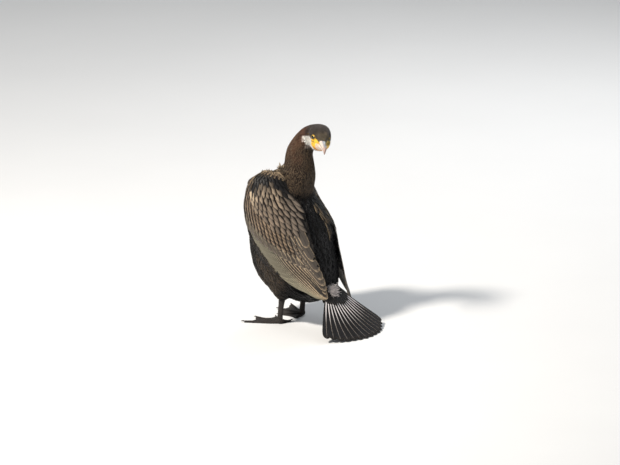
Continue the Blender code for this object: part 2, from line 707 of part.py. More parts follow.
def makeFoot(sideName, side, back):
    ankle = Vector((side * FOOT_ASIDE, back, 0.0))
    heel = ankle + Vector((0.0, ANKLE_AHEAD, 0.0))
    columns, place = footColumns(heel, side)
    bm = bmesh.new()
    heelTop = bm.verts.new(heel + Vector((0.0, 0.0, TOE_HEIGHT_ROOT)))
    heelBottom = bm.verts.new(heel)
    top = []
    rimBottom = []
    for column in columns:
        strip = []
        for row in range(1, FOOT_ROWS + 1):
            point, height = place(column, row / FOOT_ROWS)
            strip.append(bm.verts.new(point + Vector((0.0, 0.0, height))))
        top.append(strip)
    lastRow = FOOT_ROWS - 1
    rimTop = [top[0][row] for row in range(FOOT_ROWS)]
    rimTop += [top[column][lastRow] for column in range(1, len(top) - 1)]
    rimTop += [top[-1][row] for row in range(lastRow, -1, -1)]
    for vertex in rimTop:
        rimBottom.append(bm.verts.new((vertex.co.x, vertex.co.y, 0.0)))
    for left, right in zip(top, top[1:]):
        bm.faces.new((heelTop, left[0], right[0]))
        for row in range(lastRow):
            bm.faces.new((left[row], left[row + 1], right[row + 1], right[row]))
    upper = [heelTop] + rimTop
    lower = [heelBottom] + rimBottom
    for number in range(len(upper)):
        following = (number + 1) % len(upper)
        bm.faces.new((upper[number], upper[following], lower[following], lower[number]))
    bm.faces.new(lower)
    foot = addObject("foot_" + sideName, meshFromBmesh("foot_" + sideName, bm), "leg_black")
    rings = [ovalRing(ankle.x, ankle.y, height, ANKLE_RADIUS * share, ANKLE_RADIUS * share, LEG_SIDES)
             for height, share in ANKLE_STATIONS]
    joint = loft("ankle_shape_" + sideName, rings, "leg_black")
    joint.hide_render = True
    joint.display_type = "WIRE"
    union = foot.modifiers.new("ankle", "BOOLEAN")
    union.operation = "UNION"
    union.solver = "EXACT"
    union.object = joint
    for number, (turn, length, _) in enumerate(TOES, start=1):
        makeClaw("claw_%s_%d" % (sideName, number), heel, toeDirection(turn, side), length)


def makeClaw(name, heel, ahead, length):
    rings = []
    outward = Vector((-ahead.y, ahead.x, 0.0))
    for reach, radius in CLAW_STATIONS:
        centre = heel + ahead * (length + GAP + CLAW_LENGTH * reach)
        centre.z = CLAW_HEIGHT + CLAW_ARCH * math.sin(math.pi * reach) - CLAW_DROP * reach * reach
        ring = []
        for number in range(CLAW_SIDES):
            angle = 2.0 * math.pi * number / CLAW_SIDES
            spread = outward * math.cos(angle) + Vector((0.0, 0.0, math.sin(angle)))
            ring.append(centre + spread * CLAW_RADIUS * radius)
        rings.append(ring)
    loft(name, rings, "leg_black")


def makeLegs(trunkCutter):
    for sideName, side, back in (("left", 1.0, LEFT_FOOT_BACK), ("right", -1.0, RIGHT_FOOT_BACK)):
        makeFoot(sideName, side, back)
        rings = [ovalRing(side * FOOT_ASIDE, back + behind, height, wide, deep, LEG_SIDES)
                 for height, behind, wide, deep in TARSUS_STATIONS]
        loft("tarsus_" + sideName, rings, "leg_black")
        rings = []
        for step in range(2 * len(THIGH_STATIONS) - 1):
            height, behind, outward, wide, deep = smoothRow(THIGH_STATIONS, step / 2.0)
            rings.append(ovalRing(side * (FOOT_ASIDE + outward), back + behind, height, wide, deep,
                                  THIGH_SIDES))
        thigh = loft("thigh_" + sideName, rings, "plumage_dark")
        subtract(thigh, trunkCutter)
        keepLargestPiece(thigh)


def centreOverOrigin():
    """Move everything level so that the middle of the bird's box stands over the origin."""
    bpy.context.view_layer.update()
    shown = [item for item in bpy.data.objects if not item.hide_render]
    middle = Vector((0.0, 0.0, 0.0))
    for axis in (0, 1):
        reached = [vertex.co[axis] for item in shown for vertex in item.data.vertices]
        middle[axis] = (min(reached) + max(reached)) / 2.0
    for item in bpy.data.objects:
        item.location -= middle


def main():
    clearScene()
    trunkCutter, neckCutter = makeTrunkAndNeck()
    makeHead()
    makeBill()
    makeWings((trunkCutter, neckCutter))
    makeTail()
    makeLegs(trunkCutter)
    centreOverOrigin()


main()
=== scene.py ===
import bpy
import bmesh
import math
import numpy as np
from mathutils import Matrix, Vector
from mathutils.bvhtree import BVHTree


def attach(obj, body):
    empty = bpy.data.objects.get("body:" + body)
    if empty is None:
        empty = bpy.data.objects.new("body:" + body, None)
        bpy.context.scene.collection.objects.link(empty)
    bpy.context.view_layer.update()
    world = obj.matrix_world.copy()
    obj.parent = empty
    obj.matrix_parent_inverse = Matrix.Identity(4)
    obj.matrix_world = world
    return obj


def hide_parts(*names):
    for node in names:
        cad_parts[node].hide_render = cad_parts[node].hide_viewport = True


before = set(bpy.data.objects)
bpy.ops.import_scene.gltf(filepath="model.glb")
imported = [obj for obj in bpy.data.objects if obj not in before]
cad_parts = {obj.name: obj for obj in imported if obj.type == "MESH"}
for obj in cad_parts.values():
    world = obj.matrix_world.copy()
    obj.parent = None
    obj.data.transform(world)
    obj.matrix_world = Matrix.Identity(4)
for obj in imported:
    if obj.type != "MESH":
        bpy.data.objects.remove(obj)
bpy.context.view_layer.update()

# The looks of a great cormorant that stands and looks back over its left shoulder.
# Places and sizes are in millimetres and degrees, as in the solids; mm turns them into metres.
# Feathers are closed vanes of mesh, laid from root to tip over one smooth skin.
mm = 0.001
bodyShift = np.array((1.036, -62.643, 14.0)) * mm    # from the body's own tables to the frame
sides = {"left": 1.0, "right": -1.0}


def unit(vectors):
    return vectors / np.maximum(np.linalg.norm(vectors, axis=-1, keepdims=True), 1e-9)


def dot(first, second):
    return (first * second).sum(-1)


def rise(low, high, value):
    # smooth step from 0 at low to 1 at high
    share = np.clip((value - low) / (high - low), 0.0, 1.0)
    return share * share * (3.0 - 2.0 * share)


def blend(first, second, share):
    # mixes colours by one share for each row
    return np.asarray(first) + (np.asarray(second) - np.asarray(first)) * np.asarray(share)[..., None]


def smoothRow(rows, at):
    # Catmull-Rom blend of equal rows of numbers, at places counted in rows
    last = len(rows) - 1
    index = np.clip(np.floor(at).astype(int), 0, last - 1)
    t = (at - index)[..., None]
    a, b, c, d = (rows[np.clip(index + step, 0, last)] for step in (-1, 0, 1, 2))
    return 0.5 * (2.0 * b + (c - a) * t + (2.0 * a - 5.0 * b + 4.0 * c - d) * t ** 2
                  + (3.0 * b - a - 3.0 * c + d) * t ** 3)


def mottle(points, size, seed):
    # soft random field from about -1 to 1, in patches of the given size
    dice = np.random.default_rng(seed)
    total = np.zeros(len(points))
    for _ in range(6):
        wave = unit(dice.normal(size=3)) * dice.uniform(0.6, 1.5) * 2.0 * math.pi / (size * mm)
        total += np.sin(points @ wave + dice.uniform(0.0, 6.28))
    return total / 3.0


def meshFrom(bm, name):
    mesh = bpy.data.meshes.new(name)
    bm.to_mesh(mesh)
    bm.free()
    return mesh


def newObject(name, data):
    made = bpy.data.objects.new(name, data)
    bpy.context.scene.collection.objects.link(made)
    return made


# The head's own frame: forward, left and up, in millimetres from between the eyes
head = {"middle": (4.9, 86.7, 444.0), "heading": 48.0, "pitch": 4.0, "roll": 11.0}
headAxes = np.array(Matrix.Rotation(math.radians(head["heading"]), 3, "Z")
                    @ Matrix.Rotation(math.radians(head["pitch"]), 3, "Y")
                    @ Matrix.Rotation(math.radians(-head["roll"]), 3, "X"))
headMiddle = np.array(head["middle"]) * mm + bodyShift


def toHead(points):
    return (points - headMiddle) @ headAxes / mm


def fromHead(places):
    return np.asarray(places, dtype=float) * mm @ headAxes.T + headMiddle


# Camera, lights and floor
picture = {"azimuth": 130.0, "elevation": 16.0, "distance": 30000.0, "mmPerPixel": 2.35, "pixelsWide": 620,
           "standsAt": (1.036, -71.643, 0.0), "aimRight": 44.65, "aimUp": 203.3}
turn, tip = math.radians(picture["azimuth"]), math.radians(picture["elevation"])
viewRight = Vector((math.cos(turn), math.sin(turn), 0.0))
viewBack = Vector((math.sin(turn) * math.cos(tip), -math.cos(turn) * math.cos(tip), math.sin(tip)))
viewUp = viewBack.cross(viewRight)
aim = (Vector(picture["standsAt"]) + viewRight * picture["aimRight"] + viewUp * picture["aimUp"]) * mm
cameraData = bpy.data.cameras.new("camera")
cameraData.sensor_width = 36.0
cameraData.lens = cameraData.sensor_width * picture["distance"] / (picture["mmPerPixel"] * picture["pixelsWide"])
cameraData.clip_end = 400.0
camera = newObject("camera", cameraData)
camera.matrix_world = Matrix((viewRight, viewUp, viewBack)).transposed().to_4x4()
camera.location = aim + viewBack * picture["distance"] * mm
bpy.context.scene.camera = camera

lamps = {       # metres right of, above and toward the camera from the bird; watts; metres across; tint
    "key": ((-1.9, 2.2, 1.3), 150.0, 0.5, (1.0, 0.93, 0.84)),
    "fill": ((2.4, 0.9, 1.6), 7.0, 2.2, (0.92, 0.96, 1.0)),
    "back": ((0.9, 2.2, -2.0), 25.0, 1.4, (1.0, 1.0, 1.0)),
}
for lampName, (place, power, width, tint) in lamps.items():
    lampData = bpy.data.lights.new(lampName, "AREA")
    lampData.energy = power
    lampData.color = tint
    lampData.shape = "DISK"
    lampData.size = width
    lamp = newObject(lampName, lampData)
    lampPlace = aim + viewRight * place[0] + Vector((0.0, 0.0, place[1])) + viewBack * place[2]
    lamp.matrix_world = (aim - lampPlace).to_track_quat("-Z", "Y").to_matrix().to_4x4()
    lamp.location = lampPlace

world = bpy.data.worlds.new("studio")
world.use_nodes = True
sky = world.node_tree.nodes["Background"].inputs
sky["Color"].default_value = (0.90, 0.95, 1.0, 1.0)
sky["Strength"].default_value = 0.30
bpy.context.scene.world = world
bpy.context.scene.view_settings.view_transform = "Standard"


# Materials
def addNode(tree, kind, feeds=None, **settings):
    made = tree.nodes.new("ShaderNode" + kind)
    for label, value in settings.items():
        setattr(made, label, value)
    for socket, value in (feeds or {}).items():
        if isinstance(value, bpy.types.NodeSocket):
            tree.links.new(value, made.inputs[socket])
        else:
            made.inputs[socket].default_value = value
    return made


def maths(tree, operation, first, second=0.0):
    return addNode(tree, "Math", {0: first, 1: second}, operation=operation).outputs[0]


def ramp(tree, value, low, high, start=0.0, end=1.0):
    feeds = {"Value": value, "From Min": low, "From Max": high, "To Min": start, "To Max": end}
    return addNode(tree, "MapRange", feeds, interpolation_type="SMOOTHSTEP").outputs["Result"]


def mixColours(tree, share, first, second, way="MIX"):
    return addNode(tree, "Mix", {0: share, 6: first, 7: second}, data_type="RGBA", blend_type=way).outputs[2]


def grey(tree, tone):
    return addNode(tree, "CombineColor", {0: tone, 1: tone, 2: tone}).outputs[0]


def newMaterial(name, settings):
    material = bpy.data.materials.new(name)
    material.use_nodes = True
    shader = material.node_tree.nodes["Principled BSDF"]
    for label, value in settings.items():
        shader.inputs[label].default_value = value
    return material, material.node_tree, shader


def feedShader(tree, shader, colour, roughness, height, strength, distance):
    bump = addNode(tree, "Bump", {"Height": height, "Strength": strength, "Distance": distance})
    for label, value in (("Base Color", colour), ("Roughness", roughness), ("Normal", bump.outputs[0])):
        tree.links.new(value, shader.inputs[label])


vaneSettings = {"Barbs": 24.0, "Slant": 2.0, "Contrast": 0.25, "Shaft": 0.06, "Soften": 0.1, "Skew": 0.0,
                "Matte": 0.46, "Glint": 0.0}


def makeVaneMarks():
    # one feather's barbs, shaft and pale or dark rim, from the piece's map across and along each vane
    group = bpy.data.node_groups.new("vaneMarks", "ShaderNodeTree")
    for label, value in vaneSettings.items():
        socket = group.interface.new_socket(name=label, in_out="INPUT", socket_type="NodeSocketFloat")
        socket.default_value = value
    for label, kind in (("Color", "Color"), ("Height", "Float"), ("Roughness", "Float")):
        group.interface.new_socket(name=label, in_out="OUTPUT", socket_type="NodeSocket" + kind)
    given = group.nodes.new("NodeGroupInput").outputs
    result = group.nodes.new("NodeGroupOutput").inputs

    def times(first, second):
        return maths(group, "MULTIPLY", first, second)

    def plus(first, second):
        return maths(group, "ADD", first, second)

    def minus(first, second):
        return maths(group, "SUBTRACT", first, second)

    place = addNode(group, "SeparateXYZ", {0: addNode(group, "UVMap", uv_map="Vane").outputs[0]})
    signed = minus(times(place.outputs[0], 2.0), 1.0)
    across = maths(group, "ABSOLUTE", signed)
    skewed = maths(group, "ABSOLUTE", minus(signed, given["Skew"]))
    along = place.outputs[1]
    plumage = addNode(group, "Attribute", attribute_name="Plumage")
    trim = addNode(group, "Attribute", attribute_name="Trim")
    marks = addNode(group, "Attribute", attribute_name="Marks")
    edgeAt, tipAt, shaftTone = addNode(group, "SeparateXYZ", {0: marks.outputs["Vector"]}).outputs
    spot = addNode(group, "TexCoord").outputs["Object"]
    noise = addNode(group, "TexNoise", {"Vector": spot, "Scale": 420.0, "Detail": 2.0}).outputs["Fac"]
    fray = times(minus(noise, 0.5), 0.35)
    soften = given["Soften"]
    edge = ramp(group, plus(skewed, fray), minus(edgeAt, soften), plus(edgeAt, soften))
    end = plus(plus(along, times(times(across, across), 0.08)), times(fray, 0.5))
    rim = maths(group, "MAXIMUM", edge, ramp(group, end, minus(tipAt, soften), plus(tipAt, soften)))
    rim = times(rim, trim.outputs["Alpha"])
    phase = plus(times(along, given["Barbs"]), times(across, given["Slant"]))
    phase = plus(times(phase, 6.283), times(noise, 5.0))
    barb = plus(times(maths(group, "SINE", phase), 0.5), 0.5)
    shade = minus(1.0, times(barb, given["Contrast"]))
    shade = times(shade, plus(times(noise, 0.5), 0.75))
    lit = times(ramp(group, signed, 0.15, -0.8), given["Glint"])
    shade = times(shade, plus(lit, 1.0))
    coloured = mixColours(group, rim, plumage.outputs["Color"], trim.outputs["Color"])
    coloured = mixColours(group, 1.0, coloured, grey(group, shade), "MULTIPLY")
    shaft = minus(1.0, ramp(group, across, times(given["Shaft"], 0.5), given["Shaft"]))
    coloured = mixColours(group, times(shaft, 0.75), coloured, grey(group, shaftTone))
    light = addNode(group, "RGBToBW", {0: coloured}).outputs[0]
    roughness = ramp(group, light, 0.0, 0.2, given["Matte"], 0.72)
    height = plus(barb, times(shaft, 1.5))
    for label, value in (("Color", coloured), ("Height", height), ("Roughness", roughness)):
        group.links.new(value, result[label])
    return group


vaneMarks = makeVaneMarks()


def plumageMaterial(name, bumpDistance, specular, sheen, **marks):
    material, tree, shader = newMaterial(name, {"Specular IOR Level": specular, "Sheen Weight": sheen})
    made = addNode(tree, "Group", marks, node_tree=vaneMarks).outputs
    feedShader(tree, shader, made["Color"], made["Roughness"], made["Height"], 0.6, bumpDistance)
    return material


flightMarks = {"Barbs": 90.0, "Slant": 7.0, "Contrast": 0.2, "Shaft": 0.06, "Soften": 0.06, "Glint": 0.35}
plumageFine = plumageMaterial("plumageFine", 0.0001, 0.2, 0.02, Barbs=5.0, Slant=0.6, Contrast=0.18, Shaft=0.16,
                              Soften=0.16)
plumageVane = plumageMaterial("plumageVane", 0.00012, 0.3, 0.02, Barbs=22.0, Slant=3.0, Contrast=0.2, Shaft=0.08,
                              Soften=0.14, Skew=-0.3, Glint=0.55)
plumageCovert = plumageMaterial("plumageCovert", 0.00012, 0.3, 0.02, Barbs=22.0, Slant=3.0, Contrast=0.25,
                                Shaft=0.07, Soften=0.09, Skew=-0.25, Glint=0.7)
plumageTertial = plumageMaterial("plumageTertial", 0.00012, 0.45, 0.03, **flightMarks)
plumageFlight = plumageMaterial("plumageFlight", 0.00012, 0.45, 0.03, Skew=0.3, **flightMarks)
plumageTail = plumageMaterial("plumageTail", 0.0001, 0.15, 0.0, Barbs=70.0, Slant=6.0, Contrast=0.3, Shaft=0.06,
                              Soften=0.05, Matte=0.7)


def makeSkinMaterial():
    # painted skin with folds and pores, smoother where it is bare
    material, tree, shader = newMaterial("skin", {"Specular IOR Level": 0.4})
    plumage = addNode(tree, "Attribute", attribute_name="Plumage").outputs
    spot = addNode(tree, "TexCoord").outputs["Object"]
    pores = addNode(tree, "TexVoronoi", {"Vector": spot, "Scale": 1500.0}).outputs["Distance"]
    folds = addNode(tree, "TexNoise", {"Vector": spot, "Scale": 380.0, "Detail": 5.0, "Distortion": 0.6})
    fold = folds.outputs["Fac"]
    # painted shade: the skin is darker where the fold noise, which also makes the bump, is low, and lighter where
    # it is high
    colour = mixColours(tree, 1.0, plumage["Color"], grey(tree, ramp(tree, fold, 0.3, 0.7, 0.72, 1.12)), "MULTIPLY")
    roughness = ramp(tree, plumage["Alpha"], 0.0, 1.0, 0.8, 0.42)
    feedShader(tree, shader, colour, roughness, maths(tree, "ADD", fold, maths(tree, "MULTIPLY", pores, 0.5)),
               0.7, 0.0004)
    return material


def makeHornMaterial(name, settings, streak):
    # bill and claws: painted colour with fine streaks
    material, tree, shader = newMaterial(name, settings)
    horn = addNode(tree, "Attribute", attribute_name="Plumage").outputs["Color"]
    spot = addNode(tree, "TexCoord").outputs["Object"]
    grains = addNode(tree, "TexNoise", {"Vector": spot, "Scale": 300.0, "Detail": 4.0, "Distortion": 1.2})
    grain = grains.outputs["Fac"]
    tone = grey(tree, ramp(tree, grain, 0.35, 0.65, 1.0 - streak, 1.0 + streak * 0.4))
    feedShader(tree, shader, mixColours(tree, 1.0, horn, tone, "MULTIPLY"),
               ramp(tree, grain, 0.3, 0.7, 0.28, 0.5), grain, 0.4, 0.0003)
    return material


def makeLegMaterial():
    # black skin of small raised scales, greyer between them
    material, tree, shader = newMaterial("legSkin", {"Specular IOR Level": 0.2})
    spot = addNode(tree, "TexCoord").outputs["Object"]
    warp = addNode(tree, "TexNoise", {"Vector": spot, "Scale": 160.0, "Detail": 3.0}).outputs["Fac"]
    scales = addNode(tree, "TexVoronoi", {"Vector": spot, "Scale": 520.0, "Randomness": 0.8},
                     feature="DISTANCE_TO_EDGE")
    rib = ramp(tree, scales.outputs["Distance"], 0.02, 0.22)
    coloured = mixColours(tree, rib, (0.055, 0.048, 0.044, 1.0), (0.013, 0.012, 0.013, 1.0))
    coloured = mixColours(tree, ramp(tree, warp, 0.5, 0.75), coloured, (0.05, 0.04, 0.034, 1.0))
    feedShader(tree, shader, coloured, ramp(tree, rib, 0.0, 1.0, 0.8, 0.58), rib, 0.8, 0.0005)
    return material


def makeEyeMaterial():
    # the iris map runs round the eye in u and from the middle of the pupil outward in v
    material, tree, shader = newMaterial("wetEye", {"Roughness": 0.08, "Coat Weight": 0.3, "Coat Roughness": 0.02,
                                                    "Specular IOR Level": 0.35})
    place = addNode(tree, "SeparateXYZ", {0: addNode(tree, "UVMap", uv_map="Iris").outputs[0]})
    around = maths(tree, "MULTIPLY", place.outputs[0], 60.0)
    rays = addNode(tree, "TexNoise", {"Scale": 1.0, "W": around, "Detail": 2.0}, noise_dimensions="1D")
    iris = mixColours(tree, rays.outputs["Fac"], (0.003, 0.016, 0.013, 1.0), (0.008, 0.05, 0.036, 1.0))
    iris = mixColours(tree, ramp(tree, place.outputs[1], 0.185, 0.215), iris, (0.012, 0.008, 0.006, 1.0))
    pupil = ramp(tree, place.outputs[1], 0.112, 0.12)
    tree.links.new(mixColours(tree, pupil, (0.002, 0.002, 0.002, 1.0), iris), shader.inputs["Base Color"])
    return material


def makeFloorMaterial():
    material, tree, shader = newMaterial("paleFloor", {"Roughness": 0.75, "Specular IOR Level": 0.2})
    spot = addNode(tree, "TexCoord").outputs["Object"]
    grain = addNode(tree, "TexNoise", {"Vector": spot, "Scale": 3.0, "Detail": 6.0})
    tree.links.new(mixColours(tree, grain.outputs["Fac"], (0.80, 0.81, 0.82, 1.0), (0.84, 0.85, 0.86, 1.0)),
                   shader.inputs["Base Color"])
    return material


skinMaterial = makeSkinMaterial()
billHorn = makeHornMaterial("billHorn", {"Specular IOR Level": 0.5, "Coat Weight": 0.15, "Coat Roughness": 0.2},
                            0.14)
clawHorn = makeHornMaterial("clawHorn", {"Specular IOR Level": 0.5}, 0.3)
legSkin = makeLegMaterial()
wetEye = makeEyeMaterial()

bm = bmesh.new()
bmesh.ops.create_circle(bm, cap_ends=True, segments=96, radius=60.0)
bmesh.ops.translate(bm, vec=(0.0, 0.0, -0.0002), verts=bm.verts)
floor = newObject("floor", meshFrom(bm, "floor"))
floor.data.materials.append(makeFloorMaterial())
print("camera, lamps, floor and materials made")


# Meshes
def addPiece(name, mesh, material, replaced=()):
    mesh.name = name
    mesh.materials.clear()
    mesh.materials.append(material)
    mesh.polygons.foreach_set("use_smooth", np.ones(len(mesh.polygons), dtype=bool))
    piece = newObject(name, mesh)
    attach(piece, "root")
    if replaced:
        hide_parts(*replaced)
    return piece


def pointsOf(mesh):
    values = np.empty(len(mesh.vertices) * 3)
    mesh.vertices.foreach_get("co", values)
    return values.reshape(-1, 3)


def normalsOf(mesh):
    values = np.empty(len(mesh.vertices) * 3)
    mesh.vertex_normals.foreach_get("vector", values)
    return values.reshape(-1, 3)


def setPoints(mesh, points):
    mesh.vertices.foreach_set("co", points.ravel())
    mesh.update()


def paint(mesh, label, colour, fourth=1.0, each=1, dimmed=1.0):
    # red, green, blue and a fourth value for each run of points
    count = len(mesh.vertices) // each
    rows = np.column_stack([np.broadcast_to(colour, (count, 3)), np.broadcast_to(fourth, count)])
    values = np.repeat(rows, each, axis=0) * dimmed
    layer = mesh.attributes.new(label, "FLOAT_COLOR", "POINT")
    layer.data.foreach_set("color", values.astype(np.float32).ravel())


def evaluated(mesh, modifiers):
    # the mesh with modifiers applied: each is its kind and its settings
    item = newObject("working", mesh)
    for kind, settings in modifiers:
        modifier = item.modifiers.new(kind, kind)
        for label, value in settings.items():
            setattr(modifier, label, value)
    bpy.context.view_layer.update()
    made = bpy.data.meshes.new_from_object(item.evaluated_get(bpy.context.evaluated_depsgraph_get()))
    bpy.data.objects.remove(item)
    return made


def fused(mesh, settings):
    # one smooth closed surface round the mesh
    return evaluated(mesh, (("REMESH", {"mode": "VOXEL", "voxel_size": settings["voxel"] * mm}),
                            ("SMOOTH", {"factor": 0.5, "iterations": settings["smoothing"]})))


def nodeCopies(names, swell):
    # CAD nodes in one mesh, with their triangles joined and each moved outward by the swell
    joined = bmesh.new()
    for name in names:
        bm = bmesh.new()
        bm.from_mesh(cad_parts[name].data)
        bmesh.ops.remove_doubles(bm, verts=bm.verts, dist=1e-6)
        bmesh.ops.recalc_face_normals(bm, faces=bm.faces)
        bm.normal_update()
        for vert in bm.verts:
            vert.co += vert.normal * swell * mm
        mesh = meshFrom(bm, "copy")
        joined.from_mesh(mesh)
        bpy.data.meshes.remove(mesh)
    return meshFrom(joined, "copies")


def trianglesOf(mesh):
    mesh.calc_loop_triangles()
    corners = np.empty(len(mesh.loop_triangles) * 3, dtype=np.int32)
    mesh.loop_triangles.foreach_get("vertices", corners)
    return corners.reshape(-1, 3)


def treeOf(mesh):
    return BVHTree.FromPolygons(pointsOf(mesh).tolist(), trianglesOf(mesh).tolist())


def roundedRings(stations, perStation, corners, power):
    # rings of places on the head: forward, half width, top and bottom at each station
    angles = np.arange(corners) * 2.0 * math.pi / corners
    reach = (np.abs(np.cos(angles)) ** power + np.abs(np.sin(angles)) ** power) ** (-1.0 / power)
    across, upward = np.cos(angles) * reach, np.sin(angles) * reach
    at = np.linspace(0.0, len(stations) - 1.0, perStation * (len(stations) - 1) + 1)
    return [np.column_stack([np.full(corners, ahead), halfWidth * across,
                             (top + bottom) / 2.0 + (top - bottom) / 2.0 * upward])
            for ahead, halfWidth, top, bottom in smoothRow(np.array(stations, dtype=float), at)]


def loftRings(rings):
    # closed body drawn out ring by ring from one circle
    bm = bmesh.new()
    bmesh.ops.create_circle(bm, cap_ends=True, segments=len(rings[0]), radius=1.0)
    bm.verts.ensure_lookup_table()
    ring = list(bm.verts)
    edges = list(bm.edges)
    for vert, place in zip(ring, rings[0]):
        vert.co = place
    for places in rings[1:]:
        made = bmesh.ops.extrude_edge_only(bm, edges=edges)["geom"]
        edges = [item for item in made if isinstance(item, bmesh.types.BMEdge)
                 and all(len(vert.link_faces) == 2 for vert in item.verts) and len(item.link_faces) == 1]
        follow = {}
        for vert in ring:
            for edge in vert.link_edges:
                other = edge.other_vert(vert)
                if other not in ring and len(other.link_faces) == 2 and len(edge.link_faces) == 2:
                    follow[vert] = other
        ring = [follow[vert] for vert in ring]
        for vert, place in zip(ring, places):
            vert.co = place
    bmesh.ops.edgeloop_fill(bm, edges=edges)
    bmesh.ops.recalc_face_normals(bm, faces=bm.faces)
    return meshFrom(bm, "loft")


# Body envelope: the outline of the plumage, as one smooth closed surface
fleshNodes = ["trunk", "neck_lower", "neck_upper", "head", "gular_skin", "thigh_left", "thigh_right",
              "eye_left", "eye_right", "wing_left", "wing_right"]
envelope = {
    "swell": 0.35, "voxel": 2.3, "smoothing": 4,
    # the forehead and the skin before the eyes reach over the base of the bill
    "brow": ((0, 11, 12, -9), (8, 12.2, 13.2, -9), (14, 11.8, 12.2, -8.4), (19, 10.9, 10.6, -7.4),
             (24, 9.5, 8.6, -6.2), (28, 8.2, 6.6, -5.0), (31.5, 6.4, 4.2, -3.6), (33, 3, 2, -2)),
}


def withBrow(mesh):
    brow = loftRings([fromHead(ring).tolist() for ring in roundedRings(envelope["brow"], 2, 24, 2.5)])
    bm = bmesh.new()
    bm.from_mesh(mesh)
    bm.from_mesh(brow)
    bm.to_mesh(mesh)
    bm.free()
    return mesh


envelopeMesh = fused(withBrow(nodeCopies(fleshNodes, envelope["swell"])), envelope)
envelopeTree = treeOf(envelopeMesh)
wingTrees = {side: treeOf(nodeCopies(["wing_" + side], 0.0)) for side in sides}
bodyTree = treeOf(nodeCopies(fleshNodes[:7], 0.0))
print("envelope:", len(envelopeMesh.polygons), "faces")


def nearest(tree, points):
    # nearest points, their normals and distances
    found = [tree.find_nearest(point) for point in points.tolist()]
    spots = np.array([hit[0][:] for hit in found])
    normals = np.array([hit[1][:] for hit in found])
    return spots, normals, np.array([hit[3] for hit in found])


# The lie of the coat: a line from the bill down the neck and trunk to the tail
lieLine = {
    "head": ((18, 0, -4), (8, 0, -1), (0, 0, 0), (-12, 0, 0.5), (-24, 0, -1)),
    "body": ((-16, 41.5, 440.5), (-18.5, 26.5, 430), (-16.5, 15.5, 414), (-10, 10.5, 397), (-4, 13.5, 378),
             (-2, 17, 359), (0, 4.5, 339.5), (0, -14, 320.5), (0, -26, 295.5), (0, -24.5, 263.5),
             (0, -17, 225.5), (0, -8.5, 186), (0, 1, 149), (0, 20.5, 118), (0, 52, 97.5), (0, 79.5, 83.5),
             (0, 100.5, 81), (0, 125, 76)),
    "reach": 30.0,
}
linePoints = np.vstack([fromHead(lieLine["head"]), np.array(lieLine["body"]) * mm + bodyShift])
lineDirections = unit(np.gradient(linePoints, axis=0))
lineLengths = np.concatenate([[0.0], np.cumsum(np.linalg.norm(np.diff(linePoints, axis=0), axis=1))]) / mm


def alongLine(points):
    # distance down the body from the bill in millimetres, the nearby middle, and the way to the tail
    squares = ((points[:, None] - linePoints[None]) ** 2).sum(-1)
    weights = np.exp(-(squares - squares.min(1, keepdims=True)) / (2.0 * (lieLine["reach"] * mm) ** 2))
    weights /= weights.sum(1, keepdims=True)
    return weights @ lineLengths, weights @ linePoints, unit(weights @ lineDirections)


# The wings' outer faces, as in the solids: leading edge, outermost line, inner edge and thickness
wing = {
    "stations": ((58, -46, 352, 62, -16, 357, 46, 9, 346, 12), (80, -66, 332, 80, -14, 335, 36, 24, 316, 20),
                 (88, -76, 290, 95, -8, 286, 34, 58, 273, 25), (90, -75, 245, 102, 10, 238, 45, 86, 228, 26),
                 (90, -58, 192, 99, 22, 188, 42, 98, 182, 24), (84, -26, 140, 90, 42, 140, 37, 110, 142, 16),
                 (75, 26, 98, 76, 72, 108, 31, 119, 112, 9), (58, 82, 78, 56, 105, 87, 28, 127, 92, 4),
                 (40, 122, 73, 36, 130, 79, 30, 134, 82, 1.6)),
    "rightHinge": (-70.0, -20.0, 230.0), "rightSpread": 7.0, "rightDrop": 14.0,
}
wingRows = np.array(wing["stations"], dtype=float)
rightTurn = np.array(Matrix.Rotation(math.radians(wing["rightSpread"]), 3, "Y"))
mirror = np.array((-1.0, 1.0, 1.0))


def wingPoint(at, across):
    # outer face of the left wing, in metres
    row = smoothRow(wingRows, np.clip(at, -0.3, 8.0))
    lead, outer, inner = row[..., 0:3], row[..., 3:6], row[..., 6:9]
    control = outer * 2.0 - (lead + inner) / 2.0
    share = across[..., None]
    point = lead * (1.0 - share) ** 2 + control * 2.0 * share * (1.0 - share) + inner * share ** 2
    return point * mm + bodyShift


def wingSlopes(at, across):
    step = 0.02
    alongWing = (wingPoint(at + step, across) - wingPoint(at - step, across)) / (2.0 * step)
    acrossWing = (wingPoint(at, across + step) - wingPoint(at, across - step)) / (2.0 * step)
    return alongWing, acrossWing, unit(np.cross(alongWing, acrossWing))


def flightLimit(at):
    # the lowest edge of the folded feathers across the wing; beyond it lies lining, painted near black as shadow
    return np.interp(at, (2.6, 3.3, 3.9, 4.4, 4.9, 5.4, 5.9, 6.6, 7.4, 8.0),
                     (0.0, 0.04, 0.10, 0.19, 0.26, 0.30, 0.30, 0.26, 0.18, 0.1))


def toSide(points, side):
    # the right wing is the left one's mirror image, hung lower and turned with its tip outward
    if side > 0.0:
        return points
    hinge = np.array(wing["rightHinge"]) * mm + np.array((0.0, bodyShift[1], bodyShift[2]))
    centred = (points - np.array((bodyShift[0], 0.0, 0.0))) * mirror
    turned = hinge + (centred - hinge) @ rightTurn.T - np.array((0.0, 0.0, wing["rightDrop"] * mm))
    return turned + np.array((bodyShift[0], 0.0, 0.0))


def directionToSide(vectors, side):
    return vectors if side > 0.0 else (vectors * mirror) @ rightTurn.T


